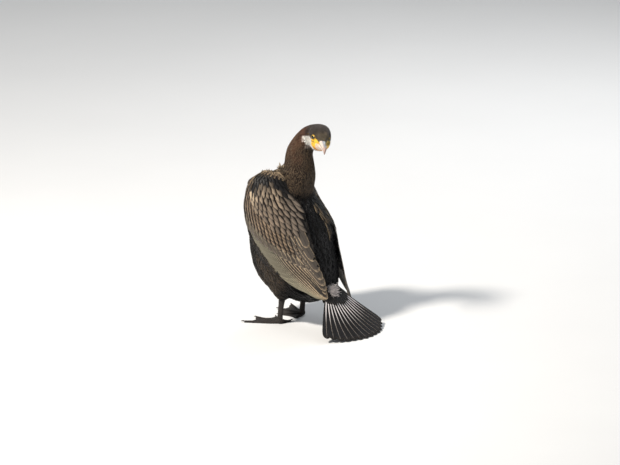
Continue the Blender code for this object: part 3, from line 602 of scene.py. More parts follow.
wingGrid = {"rows": 81, "columns": 31}
gridAt, gridAcross = np.meshgrid(np.linspace(0.0, 8.0, wingGrid["rows"]),
                                 np.linspace(0.0, 1.0, wingGrid["columns"]), indexing="ij")
gridFaces = [(row * wingGrid["columns"] + column, (row + 1) * wingGrid["columns"] + column,
              (row + 1) * wingGrid["columns"] + column + 1, row * wingGrid["columns"] + column + 1)
             for row in range(wingGrid["rows"] - 1) for column in range(wingGrid["columns"] - 1)]
outerFaces = {}
for sideName, side in sides.items():
    gridPoints = toSide(wingPoint(gridAt, gridAcross).reshape(-1, 3), side)
    gridAlong = unit(directionToSide(wingSlopes(gridAt, gridAcross)[0].reshape(-1, 3), side))
    outerFaces[sideName] = (BVHTree.FromPolygons(gridPoints.tolist(), gridFaces), gridAlong)


# Colours of the living bird, with painted light among them: a sunlit neck, shaded lores and a shadowed lining
tones = {
    "crown": (0.070, 0.058, 0.054), "forehead": (0.150, 0.118, 0.070), "sunlitNeck": (0.105, 0.045, 0.024),
    "darkNeck": (0.022, 0.012, 0.008), "streak": (0.300, 0.215, 0.135), "cheek": (0.950, 0.910, 0.830),
    "chin": (0.660, 0.540, 0.470), "fringe": (0.600, 0.450, 0.380), "black": (0.0045, 0.004, 0.0045),
    "breast": (0.036, 0.026, 0.020), "flank": (0.050, 0.040, 0.032), "shadowedLining": (0.012, 0.010, 0.009),
    "yellow": (0.830, 0.500, 0.040), "orange": (0.760, 0.230, 0.030), "shadedLores": (0.300, 0.240, 0.070),
    "spot": (0.060, 0.040, 0.020), "pink": (0.820, 0.650, 0.540), "mantle": (0.034, 0.023, 0.016),
    "tan": (0.400, 0.300, 0.190), "bronze": (0.048, 0.030, 0.020), "taupe": (0.185, 0.140, 0.102),
    "cream": (0.560, 0.440, 0.300), "darkRim": (0.016, 0.011, 0.009), "covert": (0.175, 0.125, 0.082),
    "band": (0.230, 0.205, 0.140), "tertial": (0.095, 0.076, 0.060), "slate": (0.006, 0.006, 0.008),
    "white": (0.850, 0.800, 0.800),
}
tones = {label: np.array(value) for label, value in tones.items()}


def faceMasks(points, down):
    # places on the head: bare skin, white cheek, pale chin and forehead
    forward, left, up = toHead(points).T
    aside = np.abs(left)
    wander = mottle(points, 9.0, 3) * 1.4
    ring = np.linalg.norm(np.column_stack([forward - 2.0, up - 1.2]), axis=1)
    lobeMiddle = np.interp(forward, (0.0, 10.0, 16.0, 22.0, 29.0), (-1.5, -2.4, -3.4, -2.8, -1.4))
    lobeHalf = np.interp(forward, (-3.0, 2.0, 10.0, 16.0, 22.0, 29.0), (0.0, 5.6, 4.6, 4.2, 3.0, 0.0))
    lobe = 1.0 - rise(-0.6, 0.8, np.abs(up - lobeMiddle) - lobeHalf + wander * 0.35)
    lobe = np.maximum(lobe, 1.0 - rise(5.4, 6.8, ring + wander * 0.3)) * rise(4.5, 6.5, aside)
    jawLeft = np.interp(up, (-29.0, -20.0, -8.0), (3.0, -3.5, -3.0)) + wander * 0.9
    jawRight = np.interp(up, (-30.0, -22.0, -9.0, -4.0), (9.0, 10.5, 15.0, 16.0))
    jaw = rise(-1.2, 1.2, forward - jawLeft) * rise(-1.2, 1.2, jawRight + 14.0 - forward) * rise(-1.0, -4.0, up)
    bare = np.maximum(lobe, jaw * rise(-30.5, -27.5, up + wander * 0.4)) * rise(58.0, 48.0, down)
    cheekFar = np.sqrt(((forward + 13.0) / 24.0) ** 2 + ((up + 21.0 + 0.2 * (forward + 13.0)) / 20.5) ** 2)
    cheek = (1.0 - rise(0.80, 1.10, cheekFar + wander * 0.06)) * (1.0 - bare)
    cheek *= rise(1.5, -1.5, up - 2.0 - 0.3 * np.minimum(forward, 0.0) + wander * 0.3)
    chinFar = np.linalg.norm((points / mm - (6.0, -7.5, 429.5)) / (15.0, 17.5, 10.0), axis=1)
    chin = rise(1.15, 0.8, chinFar + wander * 0.05) * (1.0 - bare)
    brow = rise(-4.0, 12.0, forward) * rise(-2.0, 6.0, up)
    inHead = 1.0 - rise(76.0, 96.0, down)
    onThroat = 1.0 - rise(105.0, 130.0, down)
    return forward, left, up, bare * inHead, cheek * inHead, chin * onThroat, brow


viewLeft = -np.array(viewRight)


def coatColours(points, normals):
    # ground colour, rim colour, rim strength and bare skin, the same for skin and feathers
    down = alongLine(points)[0]
    forward, left, up, bare, cheek, chin, brow = faceMasks(points, down)
    patch = mottle(points, 26.0, 11)
    fine = mottle(points, 7.0, 12)
    back = rise(-0.1, 0.45, normals[:, 1] + 0.25 * normals[:, 2])
    # painted light on the upper neck: the side facing the camera's left, toward the key lamp, is lit warm brown;
    # the other side stays dark as shade
    sunlitSide = rise(-0.5, 0.6, normals @ viewLeft + patch * 0.25)
    ground = blend(tones["darkNeck"], tones["sunlitNeck"], sunlitSide * rise(170.0, 110.0, down))
    ground = blend(ground, tones["crown"], rise(66.0, 48.0, down))
    ground = blend(ground, tones["forehead"], brow * rise(60.0, 40.0, down) * (0.7 + 0.3 * fine))
    trunk = blend(tones["breast"], tones["flank"], rise(280.0, 360.0, down))
    # painted shadow on the flank that faces the camera's left, under the wing's edge, together with the vent's own
    # darker colour
    front = np.abs(normals[:, 0]) * 0.64 - normals[:, 1] * 0.77
    flankShadowAndVent = np.maximum(rise(0.72, 0.92, front + 0.1 * patch) * rise(250.0, 300.0, down), rise(430.0, 465.0, down))
    trunk = blend(trunk, tones["breast"] * 0.25, flankShadowAndVent)
    trunk = blend(trunk, tones["black"], back)
    mantle = rise(0.0, 0.5, normals[:, 2]) * rise(252.0, 226.0, down) * rise(0.0, 0.03, points[:, 0])
    mantle = mantle * rise(-0.025, -0.05, points[:, 1])
    trunk = blend(trunk, tones["mantle"], mantle * 0.8)
    ground = blend(ground, trunk, rise(185.0, 225.0, down))
    ground = blend(ground, tones["black"], rise(440.0, 480.0, down))
    ground = ground * (1.0 + 0.25 * patch + 0.2 * fine)[:, None]
    ground = blend(ground, tones["chin"], chin * 0.8)
    ground = blend(ground, tones["fringe"], rise(0.02, 0.5, cheek))
    ground = blend(ground, tones["cheek"], rise(0.3, 0.75, cheek))
    # painted shade: the bare yellow skin on the head's left side, turned away from the light, is made olive
    skin = blend(tones["yellow"], tones["shadedLores"], rise(0.0, 10.0, left) * rise(-14.0, -4.0, up) * 0.75)
    skin = blend(skin, tones["orange"], rise(-17.0, -24.0, up) * rise(-4.0, 3.0, forward) * 0.7)
    pinkFrom = np.interp(up, (-30.0, -22.0, -9.0, -4.0), (9.0, 10.5, 15.0, 20.0))
    skin = blend(skin, tones["pink"], rise(-3.5, 0.5, forward - pinkFrom) * rise(-6.0, -9.0, up) * 0.95)
    skin = blend(skin, tones["spot"], rise(2.2, 0.8, np.abs(up + 8.4)) * rise(10.0, 5.0, forward) * 0.65)
    skin = blend(skin, tones["spot"], rise(0.62, 1.0, mottle(points, 4.0, 21)) * 0.75 * rise(9.0, 4.0, forward))
    ground = blend(ground, skin, bare)
    rim = blend(tones["streak"], ground, cheek)
    rim = blend(rim, tones["tan"], mantle)
    strength = 0.55 * rise(60.0, 100.0, down) * rise(215.0, 190.0, down)
    strength += 0.30 * rise(200.0, 230.0, down) * (1.0 - back) * (1.0 - flankShadowAndVent)
    strength = np.maximum(strength, 0.45 * mantle) * (1.0 - cheek) + 0.18 * rise(75.0, 50.0, down)
    return np.clip(ground, 0.003, 1.0), np.clip(rim, 0.003, 1.0), strength, bare


# Skin: the envelope, lowered by the depth of the coat
skin = {"headDepth": 0.9, "neckDepth": 2.0, "bodyDepth": 4.0, "wingDepth": 3.0, "thinShare": 0.35,
        "foldHeight": 0.45, "lores": ((2.0, 6.0, 10.0, 16.0, 34.0), (17.5, 15.6, 13.6, 11.4, 9.0))}
eye = {"aside": 16.3, "up": 1.5, "radius": 6.6, "opening": 4.3, "gaze": (0.52, 0.85, 0.02), "lidWidth": 0.6}


def eyePlaces(side):
    middle = fromHead((0.0, side * eye["aside"], eye["up"]))
    gaze = unit(np.array((eye["gaze"][0], side * eye["gaze"][1], eye["gaze"][2])) @ headAxes.T)
    return middle, gaze


def coatDepth(points, bare):
    down = alongLine(points)[0]
    depth = np.interp(down, (40.0, 70.0, 170.0, 235.0),
                      (skin["headDepth"], skin["neckDepth"], skin["neckDepth"] + 0.6, skin["bodyDepth"]))
    return depth * (1.0 - bare)


def makeSkin():
    bm = bmesh.new()
    bm.from_mesh(envelopeMesh)
    headVerts = {vert for vert, place in zip(bm.verts, toHead(pointsOf(envelopeMesh)))
                 if -14 < place[0] < 34 and -32 < place[2] < 14}
    faceEdges = [edge for edge in bm.edges if edge.verts[0] in headVerts and edge.verts[1] in headVerts]
    bmesh.ops.subdivide_edges(bm, edges=faceEdges, cuts=2, use_grid_fill=True, smooth=0.3)
    mesh = meshFrom(bm, "skin")
    points, normals = pointsOf(mesh), normalsOf(mesh)
    ground, _, _, bare = coatColours(points, normals)
    depth = coatDepth(points, bare)
    wingFar = np.minimum(nearest(wingTrees["left"], points)[2], nearest(wingTrees["right"], points)[2])
    onWing = wingFar < nearest(bodyTree, points)[2]
    depth[onWing] = skin["wingDepth"]
    through = [envelopeTree.ray_cast(point, direction)[3] for point, direction
               in zip((points - normals * 0.3 * mm).tolist(), (-normals).tolist())]
    through = np.array([0.1 if far is None else far for far in through]) / mm
    depth = np.minimum(depth, through * skin["thinShare"])
    folds = np.abs(mottle(points, 6.0, 31)) * bare * skin["foldHeight"]
    points = points - normals * ((depth - folds) * mm)[:, None]
    places = toHead(points)
    widest = np.interp(places[:, 0], *skin["lores"])
    hollow = rise(3.0, 6.0, places[:, 0]) * rise(-13.0, -8.0, places[:, 2]) * rise(8.0, 4.0, places[:, 2])
    aside = np.abs(places[:, 1])
    places[:, 1] -= np.sign(places[:, 1]) * np.maximum(aside - widest, 0.0) * hollow
    points = fromHead(places)
    for side in sides.values():
        middle, gaze = eyePlaces(side)
        offset = points - middle
        along = offset @ gaze
        around = np.linalg.norm(offset - along[:, None] * gaze, axis=1) / mm
        reach = np.linalg.norm(offset, axis=1) / mm
        lid = eye["radius"] + 0.35
        target = np.where(around < eye["opening"], eye["radius"] - 0.8,
                          lid + 0.25 * np.sin((around - eye["opening"]) * 3.0))
        share = (1.0 - rise(eye["opening"] + 1.5, eye["opening"] + 5.0, around)) * (along > 0.0)
        newReach = reach + (target - reach) * share
        points = np.where((share > 0.0)[:, None], middle + unit(offset) * (newReach * mm)[:, None], points)
    setPoints(mesh, points)
    # skin under the wings takes the lining tone, painted near black as the shadow under the wing's edge
    paint(mesh, "Plumage", np.where(onWing[:, None], tones["shadowedLining"], ground), bare)
    replaced = [name for name in fleshNodes if not name.startswith("eye")]
    return addPiece("skin", mesh, skinMaterial, replaced)


skinPiece = makeSkin()
print("skin:", len(skinPiece.data.polygons), "faces")


# Vanes: one closed template is drawn out ring by ring, then copied from root to tip of every feather
def vaneTemplate(corners, shares, widths, heights):
    # widths and heights: shares of the half width and of the thickness at each ring
    bm = bmesh.new()
    bmesh.ops.create_circle(bm, segments=corners, radius=1.0)
    ring = list(bm.edges)
    for low, high in zip(shares, shares[1:]):
        made = bmesh.ops.extrude_edge_only(bm, edges=ring)["geom"]
        ringVerts = [item for item in made if isinstance(item, bmesh.types.BMVert)]
        bmesh.ops.translate(bm, vec=(0.0, 0.0, high - low), verts=ringVerts)
        ring = [item for item in made if isinstance(item, bmesh.types.BMEdge)
                and item.verts[0] in ringVerts and item.verts[1] in ringVerts]
    for share in (shares[0], shares[-1]):
        end = [vert for vert in bm.verts if abs(vert.co.z - share) < 1e-6]
        bmesh.ops.pointmerge(bm, verts=end, merge_co=(0.0, 0.0, share))
    bmesh.ops.recalc_face_normals(bm, faces=bm.faces)
    bm.verts.index_update()
    places = np.array([vert.co[:] for vert in bm.verts])
    widest = np.abs(places[:, 0]).max()
    rings = np.array([int(np.argmin(np.abs(np.array(shares) - place[2]))) for place in places])
    faces = [[vert.index for vert in face.verts] for face in bm.faces]
    bm.free()
    return {"across": places[:, 0] / widest, "rise": places[:, 1], "rings": rings, "faces": faces,
            "shares": np.array(shares), "widths": np.array(widths)[rings], "heights": np.array(heights)[rings]}


def cellPlaces(order):
    # lower corner and size of each feather's own cell on the bake map
    count = len(order)
    columns = math.ceil(math.sqrt(count))
    cells = np.empty((count, 2))
    cells[order] = np.column_stack([np.arange(count) % columns, np.arange(count) // columns])
    return cells / columns, 0.96 / columns


def marksFor(count, edge, tip, shaft):
    # where the rim begins across and along each vane, and how light its shaft is
    return np.column_stack([np.broadcast_to(value, count) for value in (edge, tip, shaft)])


def layVanes(name, template, spine, normal, halfWidth, thickness, colours, material, lift, patches,
             tilt=0.0, cup=0.0, level=None, replaced=(), shadeBelow=1.0):
    # spine and normal: feather, ring, direction. colours: ground, rim, strength of the rim and marks.
    tangent = unit(np.gradient(spine, axis=1))
    across = unit(np.cross(normal, tangent))
    above = np.cross(tangent, across)
    ring, side, high = template["rings"], template["across"], template["rise"]
    count, size = len(spine), len(ring)
    halfWidth, thickness = (np.broadcast_to(value, count)[:, None] for value in (halfWidth, thickness))
    widths = halfWidth * template["widths"] * side * mm
    lean = np.asarray(tilt)[..., None] * side * template["widths"]
    heights = np.broadcast_to(lift, spine.shape[:2])[:, ring] + thickness * template["heights"] * high
    heights = heights + lean - cup * side ** 2 * template["widths"]
    points = spine[:, ring] + across[:, ring] * widths[..., None] + above[:, ring] * (heights * mm)[..., None]
    if level is not None:
        points[..., 2] = np.maximum(points[..., 2], level)
    lengths = np.array([len(face) for face in template["faces"]])
    corners = np.concatenate(template["faces"])
    allCorners = (corners[None] + (np.arange(count) * size)[:, None]).ravel()
    starts = np.concatenate([[0], np.cumsum(np.tile(lengths, count))[:-1]])
    mesh = bpy.data.meshes.new(name)
    mesh.vertices.add(count * size)
    mesh.vertices.foreach_set("co", points.ravel())
    mesh.loops.add(len(allCorners))
    mesh.loops.foreach_set("vertex_index", allCorners.astype(np.int32))
    mesh.polygons.add(len(starts))
    mesh.polygons.foreach_set("loop_start", starts.astype(np.int32))
    mesh.update(calc_edges=True)
    along = template["shares"][ring]
    vaneMap = np.column_stack([0.5 + 0.5 * side, along])[corners]
    bakeMap = np.column_stack([0.5 + 0.45 * side, 0.03 + 0.94 * along])[corners]
    patchAt, patchSize = patches
    bake = mesh.uv_layers.new(name="OFBake")
    bake.data.foreach_set("uv", (patchAt[:, None] + patchSize * bakeMap[None]).astype(np.float32).ravel())
    vane = mesh.uv_layers.new(name="Vane")
    vane.data.foreach_set("uv", np.tile(vaneMap, (count, 1)).astype(np.float32).ravel())
    vane.active_render = True
    ground, rim, strength, marks = colours
    under = np.tile(np.where(high < -0.2, shadeBelow, 1.0), count)[:, None]
    paint(mesh, "Plumage", ground, 1.0, size, under)
    paint(mesh, "Trim", rim, strength, size, under)
    paint(mesh, "Marks", marks, 1.0, size)
    piece = addPiece(name, mesh, material, replaced)
    print(name + ":", count, "feathers,", int((lengths - 2).sum() * count), "triangles")
    return piece


# Contour feathers over head, neck, trunk and thighs
def spread(points, spacing, dice):
    # keeps points that lie at least the spacing apart, in random order
    kept, grid = [], {}
    keys = np.floor(points / spacing).astype(int).tolist()
    places = points.tolist()
    reach = spacing * spacing
    around = [(x, y, z) for x in (-1, 0, 1) for y in (-1, 0, 1) for z in (-1, 0, 1)]
    for number in dice.permutation(len(places)).tolist():
        x, y, z = places[number]
        i, j, k = keys[number]
        free = True
        for di, dj, dk in around:
            for u, v, w in grid.get((i + di, j + dj, k + dk), ()):
                if (x - u) ** 2 + (y - v) ** 2 + (z - w) ** 2 < reach:
                    free = False
                    break
            if not free:
                break
        if free:
            kept.append(number)
            grid.setdefault((i, j, k), []).append((x, y, z))
    return np.array(kept)


def samplePoints(mesh, density, dice):
    corners = trianglesOf(mesh)
    points, normals = pointsOf(mesh)[corners], normalsOf(mesh)[corners]
    areas = np.linalg.norm(np.cross(points[:, 1] - points[:, 0], points[:, 2] - points[:, 0]), axis=1) / 2.0
    count = int(areas.sum() / mm ** 2 * density)
    picked = dice.choice(len(areas), count, p=areas / areas.sum())
    shares = dice.random((count, 2))
    shares = np.where(shares.sum(1, keepdims=True) > 1.0, 1.0 - shares, shares)
    shares = np.column_stack([1.0 - shares.sum(1), shares])[:, :, None]
    return (points[picked] * shares).sum(1), unit((normals[picked] * shares).sum(1))


# how many places there are for each square millimetre, how squarely those of the wing's outer face look out,
# and how near in front of them the wing hides those of the back
sampling = {"density": 1.6, "facing": 0.3, "hiddenGap": 7.0}
samples, sampleNormals = samplePoints(envelopeMesh, sampling["density"], np.random.default_rng(7))
sampleDown, _, sampleWay = alongLine(samples)
samplePlace = toHead(samples)
sampleOnWing = np.zeros(len(samples), dtype=bool)
sampleOuter = np.zeros(len(samples), dtype=bool)
sampleUnder = np.zeros(len(samples), dtype=bool)
bodyFar = nearest(bodyTree, samples)[2]
for sideName, side in sides.items():
    near = (samples[:, 0] * side > 0.02) & (sampleDown > 190.0)
    wingFar = np.full(len(samples), 1.0)
    wingFar[near] = nearest(wingTrees[sideName], samples[near])[2]
    closer = wingFar < bodyFar
    sampleOnWing |= closer
    faceTree, faceAlong = outerFaces[sideName]
    closerNumbers = np.nonzero(closer)[0]
    hits = [faceTree.find_nearest(point) for point in samples[closerNumbers].tolist()]
    hitFaces = np.array([hit[2] for hit in hits])
    faceRows, faceColumns = np.divmod(hitFaces, wingGrid["columns"] - 1)
    corner = faceRows * wingGrid["columns"] + faceColumns
    sampleWay[closerNumbers] = faceAlong[corner]
    outward = np.array([hit[1][:] for hit in hits])
    outward *= np.sign(outward[:, 0] * side)[:, None]
    facing = dot(outward, sampleNormals[closerNumbers])
    beyond = faceColumns / wingGrid["columns"] < flightLimit(faceRows * 8.0 / wingGrid["rows"]) - 0.015
    sampleOuter[closerNumbers] = (facing > sampling["facing"]) & (faceColumns > 0) & ~beyond
    besideNumbers = np.nonzero((samples[:, 0] * side > 0.035) & (sampleDown > 330.0) & ~closer)[0]
    gaps = [faceTree.find_nearest(point)[3] for point in samples[besideNumbers].tolist()]
    sampleUnder[besideNumbers] = np.array(gaps) < sampling["hiddenGap"] * mm
print("coat sampled:", len(samples), "places")

fineVane = vaneTemplate(3, (0.0, 0.3, 0.68, 1.0), (0.4, 0.85, 0.95, 0.0), (0.3, 1.0, 0.8, 0.0))
bodyVane = vaneTemplate(3, (0.0, 0.25, 0.55, 0.82, 1.0), (0.4, 0.8, 1.0, 0.72, 0.0), (0.3, 1.0, 1.0, 0.7, 0.0))
roundVane = vaneTemplate(5, (0.0, 0.25, 0.5, 0.75, 0.92, 1.0), (0.4, 0.8, 1.0, 0.95, 0.62, 0.0),
                         (0.3, 1.0, 1.0, 0.8, 0.5, 0.0))
# barest skin that bears feathers, length behind the root, how deep roots lie in the coat, bake patches
laying = {"barest": 0.2, "behind": 0.35, "sunk": 0.75, "patch": 0.003}
coats = {     # spacing, length, half width and thickness; standing out at the tip; sideways scatter in degrees
    "face_feathers": {"spacing": 1.05, "length": 4.2, "halfWidth": 0.5, "thickness": 0.15, "stand": 0.15,
                      "scatter": 14.0, "vane": fineVane},
    "head_feathers": {"spacing": 1.25, "length": 6.2, "halfWidth": 0.56, "thickness": 0.16, "stand": 0.2,
                      "scatter": 12.0, "vane": fineVane},
    "neck_feathers": {"spacing": 1.5, "length": 10.0, "halfWidth": 0.72, "thickness": 0.2, "stand": 0.35,
                      "scatter": 12.0, "vane": bodyVane},
    "neck_base_feathers": {"spacing": 1.9, "length": 12.0, "halfWidth": 1.1, "thickness": 0.22, "stand": 0.4,
                           "scatter": 10.0, "vane": bodyVane},
    "mantle_feathers": {"spacing": 4.2, "length": 22.0, "halfWidth": 4.2, "thickness": 0.35, "stand": 0.8,
                        "scatter": 9.0, "vane": roundVane},
    "back_feathers": {"spacing": 5.0, "length": 26.0, "halfWidth": 5.0, "thickness": 0.35, "stand": 0.9,
                      "scatter": 8.0, "vane": roundVane},
    "breast_feathers": {"spacing": 2.7, "length": 12.0, "halfWidth": 1.9, "thickness": 0.3, "stand": 0.5,
                        "scatter": 10.0, "vane": bodyVane},
    "belly_feathers": {"spacing": 2.9, "length": 14.0, "halfWidth": 2.0, "thickness": 0.3, "stand": 0.6,
                       "scatter": 12.0, "vane": bodyVane},
    "wing_linings": {"spacing": 3.4, "length": 12.0, "halfWidth": 2.6, "thickness": 0.3, "stand": 0.2,
                     "scatter": 8.0, "vane": bodyVane},
}
backFacing = sampleNormals[:, 1] + 0.25 * sampleNormals[:, 2] > 0.1
noseward = samplePlace[:, 0]
offBill = (noseward < 14.0) | (samplePlace[:, 2] > np.interp(noseward, (14.0, 29.0), (0.0, -1.0)))
body = ~sampleOnWing & ~(sampleUnder & backFacing)
coatPlaces = {
    "face_feathers": body & (sampleDown < 58.0) & (noseward > -12.0) & offBill,
    "head_feathers": body & (sampleDown < 62.0) & (noseward <= -12.0),
    "neck_feathers": body & (sampleDown >= 62.0) & (sampleDown < 150.0),
    "neck_base_feathers": body & (sampleDown >= 150.0) & (sampleDown < 215.0),
    "mantle_feathers": body & (sampleDown >= 215.0) & (sampleDown < 330.0) & backFacing,
    "back_feathers": body & (sampleDown >= 330.0) & backFacing,
    "breast_feathers": body & (sampleDown >= 215.0) & (sampleDown < 330.0) & ~backFacing,
    "belly_feathers": body & (sampleDown >= 330.0) & ~backFacing,
    "wing_linings": sampleOnWing & ~sampleOuter,
}


def growCoat(name, coat, chosen, seed):
    dice = np.random.default_rng(seed)
    onWing = name.startswith("wing")
    numbers = np.nonzero(chosen)[0]
    numbers = numbers[coatColours(samples[numbers], sampleNormals[numbers])[3] < laying["barest"]]
    numbers = numbers[spread(samples[numbers], coat["spacing"] * mm, dice)]
    count = len(numbers)
    roots, normals = samples[numbers], sampleNormals[numbers]
    ground, rim, strength, bare = coatColours(roots, normals)
    length = coat["length"] * dice.uniform(0.8, 1.2, count)
    yaw = np.radians(dice.normal(0.0, coat["scatter"], count))
    shares = coat["vane"]["shares"]
    spine = np.empty((count, len(shares), 3))
    up = np.empty_like(spine)
    flow = sampleWay[numbers]
    point, normal, _ = nearest(envelopeTree, roots - unit(flow) * (length * laying["behind"] * mm)[:, None])
    for step in range(len(shares)):
        spine[:, step], up[:, step] = point, normal
        if step + 1 < len(shares):
            if not onWing:
                flow = alongLine(point)[2]
            flat = unit(flow - normal * dot(flow, normal)[:, None])
            swerved = flat * np.cos(yaw)[:, None] + np.cross(normal, flat) * np.sin(yaw)[:, None]
            ahead = point + swerved * (length * (shares[step + 1] - shares[step]) * mm)[:, None]
            point, normal, _ = nearest(envelopeTree, ahead)
    depth = coatDepth(roots, bare)
    if onWing:
        depth[:] = skin["wingDepth"]
        # lining feathers take the dark lining tone, painted near black as the shadow under the wing's edge
        ground = tones["shadowedLining"] * dice.uniform(0.7, 1.3, (count, 1))
    stand = coat["stand"] * dice.uniform(0.2, 1.8, count)
    lift = -depth[:, None] * laying["sunk"] * (1.0 - shares) ** 1.3 + stand[:, None] * shares ** 2
    down, middle, way = alongLine(roots)
    offset = roots - middle
    angle = np.arctan2(offset[:, 0], dot(offset, np.cross(way, np.array((1.0, 0.0, 0.0)))))
    unwrapped = np.column_stack([angle, down])
    low, high = unwrapped.min(0), unwrapped.max(0)
    patchAt = 0.01 + 0.975 * (unwrapped - low) / (high - low)
    ground = np.clip(ground * dice.uniform(0.8, 1.2, (count, 1)), 0.0, 0.97)
    strength = strength * (dice.random(count) < 0.8) * dice.uniform(0.5, 1.3, count)
    halfWidth = coat["halfWidth"] * dice.uniform(0.85, 1.15, count)
    colours = ground, rim, np.clip(strength, 0.0, 1.0), marksFor(count, 0.8, 0.72, ground.mean(1) * 0.5)
    layVanes(name, coat["vane"], spine, up, halfWidth, coat["thickness"], colours, plumageFine, lift,
             (patchAt, laying["patch"]))


for number, (coatName, coat) in enumerate(coats.items()):
    growCoat(coatName, coat, coatPlaces[coatName], 100 + number)


def sprung(start, way, length, shares, curl):
    # straight spines from their roots, curled toward the tips
    straight = start[:, None] + way[:, None] * (length[:, None] * shares * mm)[..., None]
    return straight + curl[:, None] * (shares ** 2)[None, :, None] * mm


shoulderTufts = {"count": 34, "length": (8.0, 17.0), "halfWidth": (0.9, 1.9), "thickness": 0.3, "rootDepth": 2.0,
                 "scatter": 1.2, "curl": 1.6,
                 "line": ((66.0, -88.0, 366.0), (46.0, -86.0, 368.0), (31.0, -82.0, 368.0), (35.0, -62.0, 375.0))}


def makeShoulderTufts():
    # a few buff feathers stand up where the neck meets the near shoulder
    dice = np.random.default_rng(131)
    count, shares = shoulderTufts["count"], bodyVane["shares"]
    start = smoothRow(np.array(shoulderTufts["line"]), dice.uniform(0.0, 3.0, count)) * mm
    start, normal, _ = nearest(envelopeTree, start + dice.normal(0.0, shoulderTufts["scatter"], (count, 3)) * mm)
    start = start - normal * shoulderTufts["rootDepth"] * mm
    way = unit(np.column_stack([dice.normal(0.2, 0.5, count), dice.normal(0.15, 0.5, count), np.ones(count)]))
    length = dice.uniform(*shoulderTufts["length"], count)
    spine = sprung(start, way, length, shares, dice.normal(0.0, shoulderTufts["curl"], (count, 3)))
    up = np.repeat(unit(np.cross(way, (0.0, 0.3, 0.1)))[:, None], len(shares), axis=1)
    ground = blend(tones["bronze"], tones["tan"], dice.random(count)) * dice.uniform(0.8, 1.2, (count, 1))
    layVanes("shoulder_tufts", bodyVane, spine, up, dice.uniform(*shoulderTufts["halfWidth"], count),
             shoulderTufts["thickness"], (ground, tones["cream"], 0.8, marksFor(count, 0.7, 0.6, 0.2)),
             plumageFine, 0.0, cellPlaces(np.arange(count)))


makeShoulderTufts()

farStreaks = {"count": 18, "from": (-9.0, -10.0, 292.0), "to": (-24.0, 22.0, 230.0), "scatter": 6.5,
              "length": 26.0, "halfWidth": 2.4, "thickness": 0.3, "way": (-0.10, 0.42, -0.90)}


def makeFarStreaks():
    # long dark feathers with tan edges on the back, along the far wing
    dice = np.random.default_rng(151)
    count, shares = farStreaks["count"], bodyVane["shares"]
    along = np.linspace(0.0, 1.0, count)[:, None] + dice.normal(0.0, 0.02, (count, 1))
    first, last = np.array(farStreaks["from"]), np.array(farStreaks["to"])
    start = (first + (last - first) * along + dice.normal(0.0, farStreaks["scatter"], (count, 3))) * mm
    way = unit(np.array(farStreaks["way"]) + dice.normal(0.0, 0.12, (count, 3)))
    path = sprung(start, way, farStreaks["length"] * dice.uniform(0.7, 1.15, count), shares, np.zeros((count, 3)))
    spine, normal, _ = nearest(envelopeTree, path.reshape(-1, 3))
    ground = tones["bronze"] * dice.uniform(0.15, 0.5, (count, 1))
    rim = tones["tan"] * dice.uniform(0.5, 1.1, (count, 1))
    layVanes("far_streaks", bodyVane, spine.reshape(path.shape), normal.reshape(path.shape),
             farStreaks["halfWidth"] * dice.uniform(0.7, 1.2, count), farStreaks["thickness"],
             (ground, rim, 0.9, marksFor(count, 0.5, 0.96, 0.02)), plumageFine,
             0.4 + 2.0 * shares ** 0.7, cellPlaces(np.arange(count)))


makeFarStreaks()


# Wing feathers, laid from the wing's own stations: at runs from shoulder to tip, across from the leading edge
def walkBack(at, across, length, yaw, shares):
    # stations of each feather's spine, walked back from its tip along the wing's face
    places = np.empty((len(at), len(shares), 2))
    places[:, -1] = np.column_stack([at, across])
    for step in range(len(shares) - 1, 0, -1):
        alongWing, acrossWing, _ = wingSlopes(places[:, step, 0], places[:, step, 1])
        straight = unit(alongWing)
        aside = unit(acrossWing - straight * dot(acrossWing, straight)[:, None])
        move = -(straight * np.cos(yaw)[:, None] + aside * np.sin(yaw)[:, None])
        move *= (length * (shares[step] - shares[step - 1]) * mm)[:, None]
        a, b, c = dot(alongWing, alongWing), dot(alongWing, acrossWing), dot(acrossWing, acrossWing)
        p, q = dot(move, alongWing), dot(move, acrossWing)
        whole = a * c - b * b
        places[:, step - 1, 0] = places[:, step, 0] + (p * c - q * b) / whole
        places[:, step - 1, 1] = places[:, step, 1] + (q * a - p * b) / whole
    places[..., 0] = np.clip(places[..., 0], -0.3, 8.0)
    places[..., 1] = np.clip(places[..., 1], -0.12, 1.12)
    return places


def layOnWing(name, sideName, vane, places, halfWidth, thickness, colours, material, lift, tilt, cup, order,
              replaced=(), droop=0.0):
    side = sides[sideName]
    spine = toSide(wingPoint(places[..., 0], places[..., 1]), side)
    spine[..., 2] -= droop * mm
    outward = directionToSide(wingSlopes(places[..., 0], places[..., 1])[2], side)
    layVanes(name, vane, spine, outward, halfWidth, thickness, colours, material, lift,
             cellPlaces(order), tilt * side, cup, None, replaced, 0.3)


covertShares = (0.0, 0.2, 0.45, 0.68, 0.86, 0.96, 1.0)
covertHeights = (0.4, 1.0, 1.0, 0.9, 0.7, 0.5, 0.0)
bluntVane = vaneTemplate(6, covertShares, (0.35, 0.72, 0.98, 1.0, 0.78, 0.42, 0.0), covertHeights)
pointedVane = vaneTemplate(6, covertShares, (0.4, 0.85, 1.0, 0.93, 0.53, 0.2, 0.0), covertHeights)
flightShares = tuple(np.linspace(0.0, 0.86, 14)) + (0.92, 0.96, 0.985, 1.0)
flightVane = vaneTemplate(12, flightShares,
                          np.interp(flightShares, (0.0, 0.06, 0.25, 0.6, 0.86, 0.94, 0.985, 1.0),
                                    (0.15, 0.5, 0.9, 1.0, 0.9, 0.68, 0.36, 0.0)),
                          np.interp(flightShares, (0.0, 0.1, 0.8, 0.985, 1.0), (1.0, 1.0, 0.7, 0.5, 0.0)))

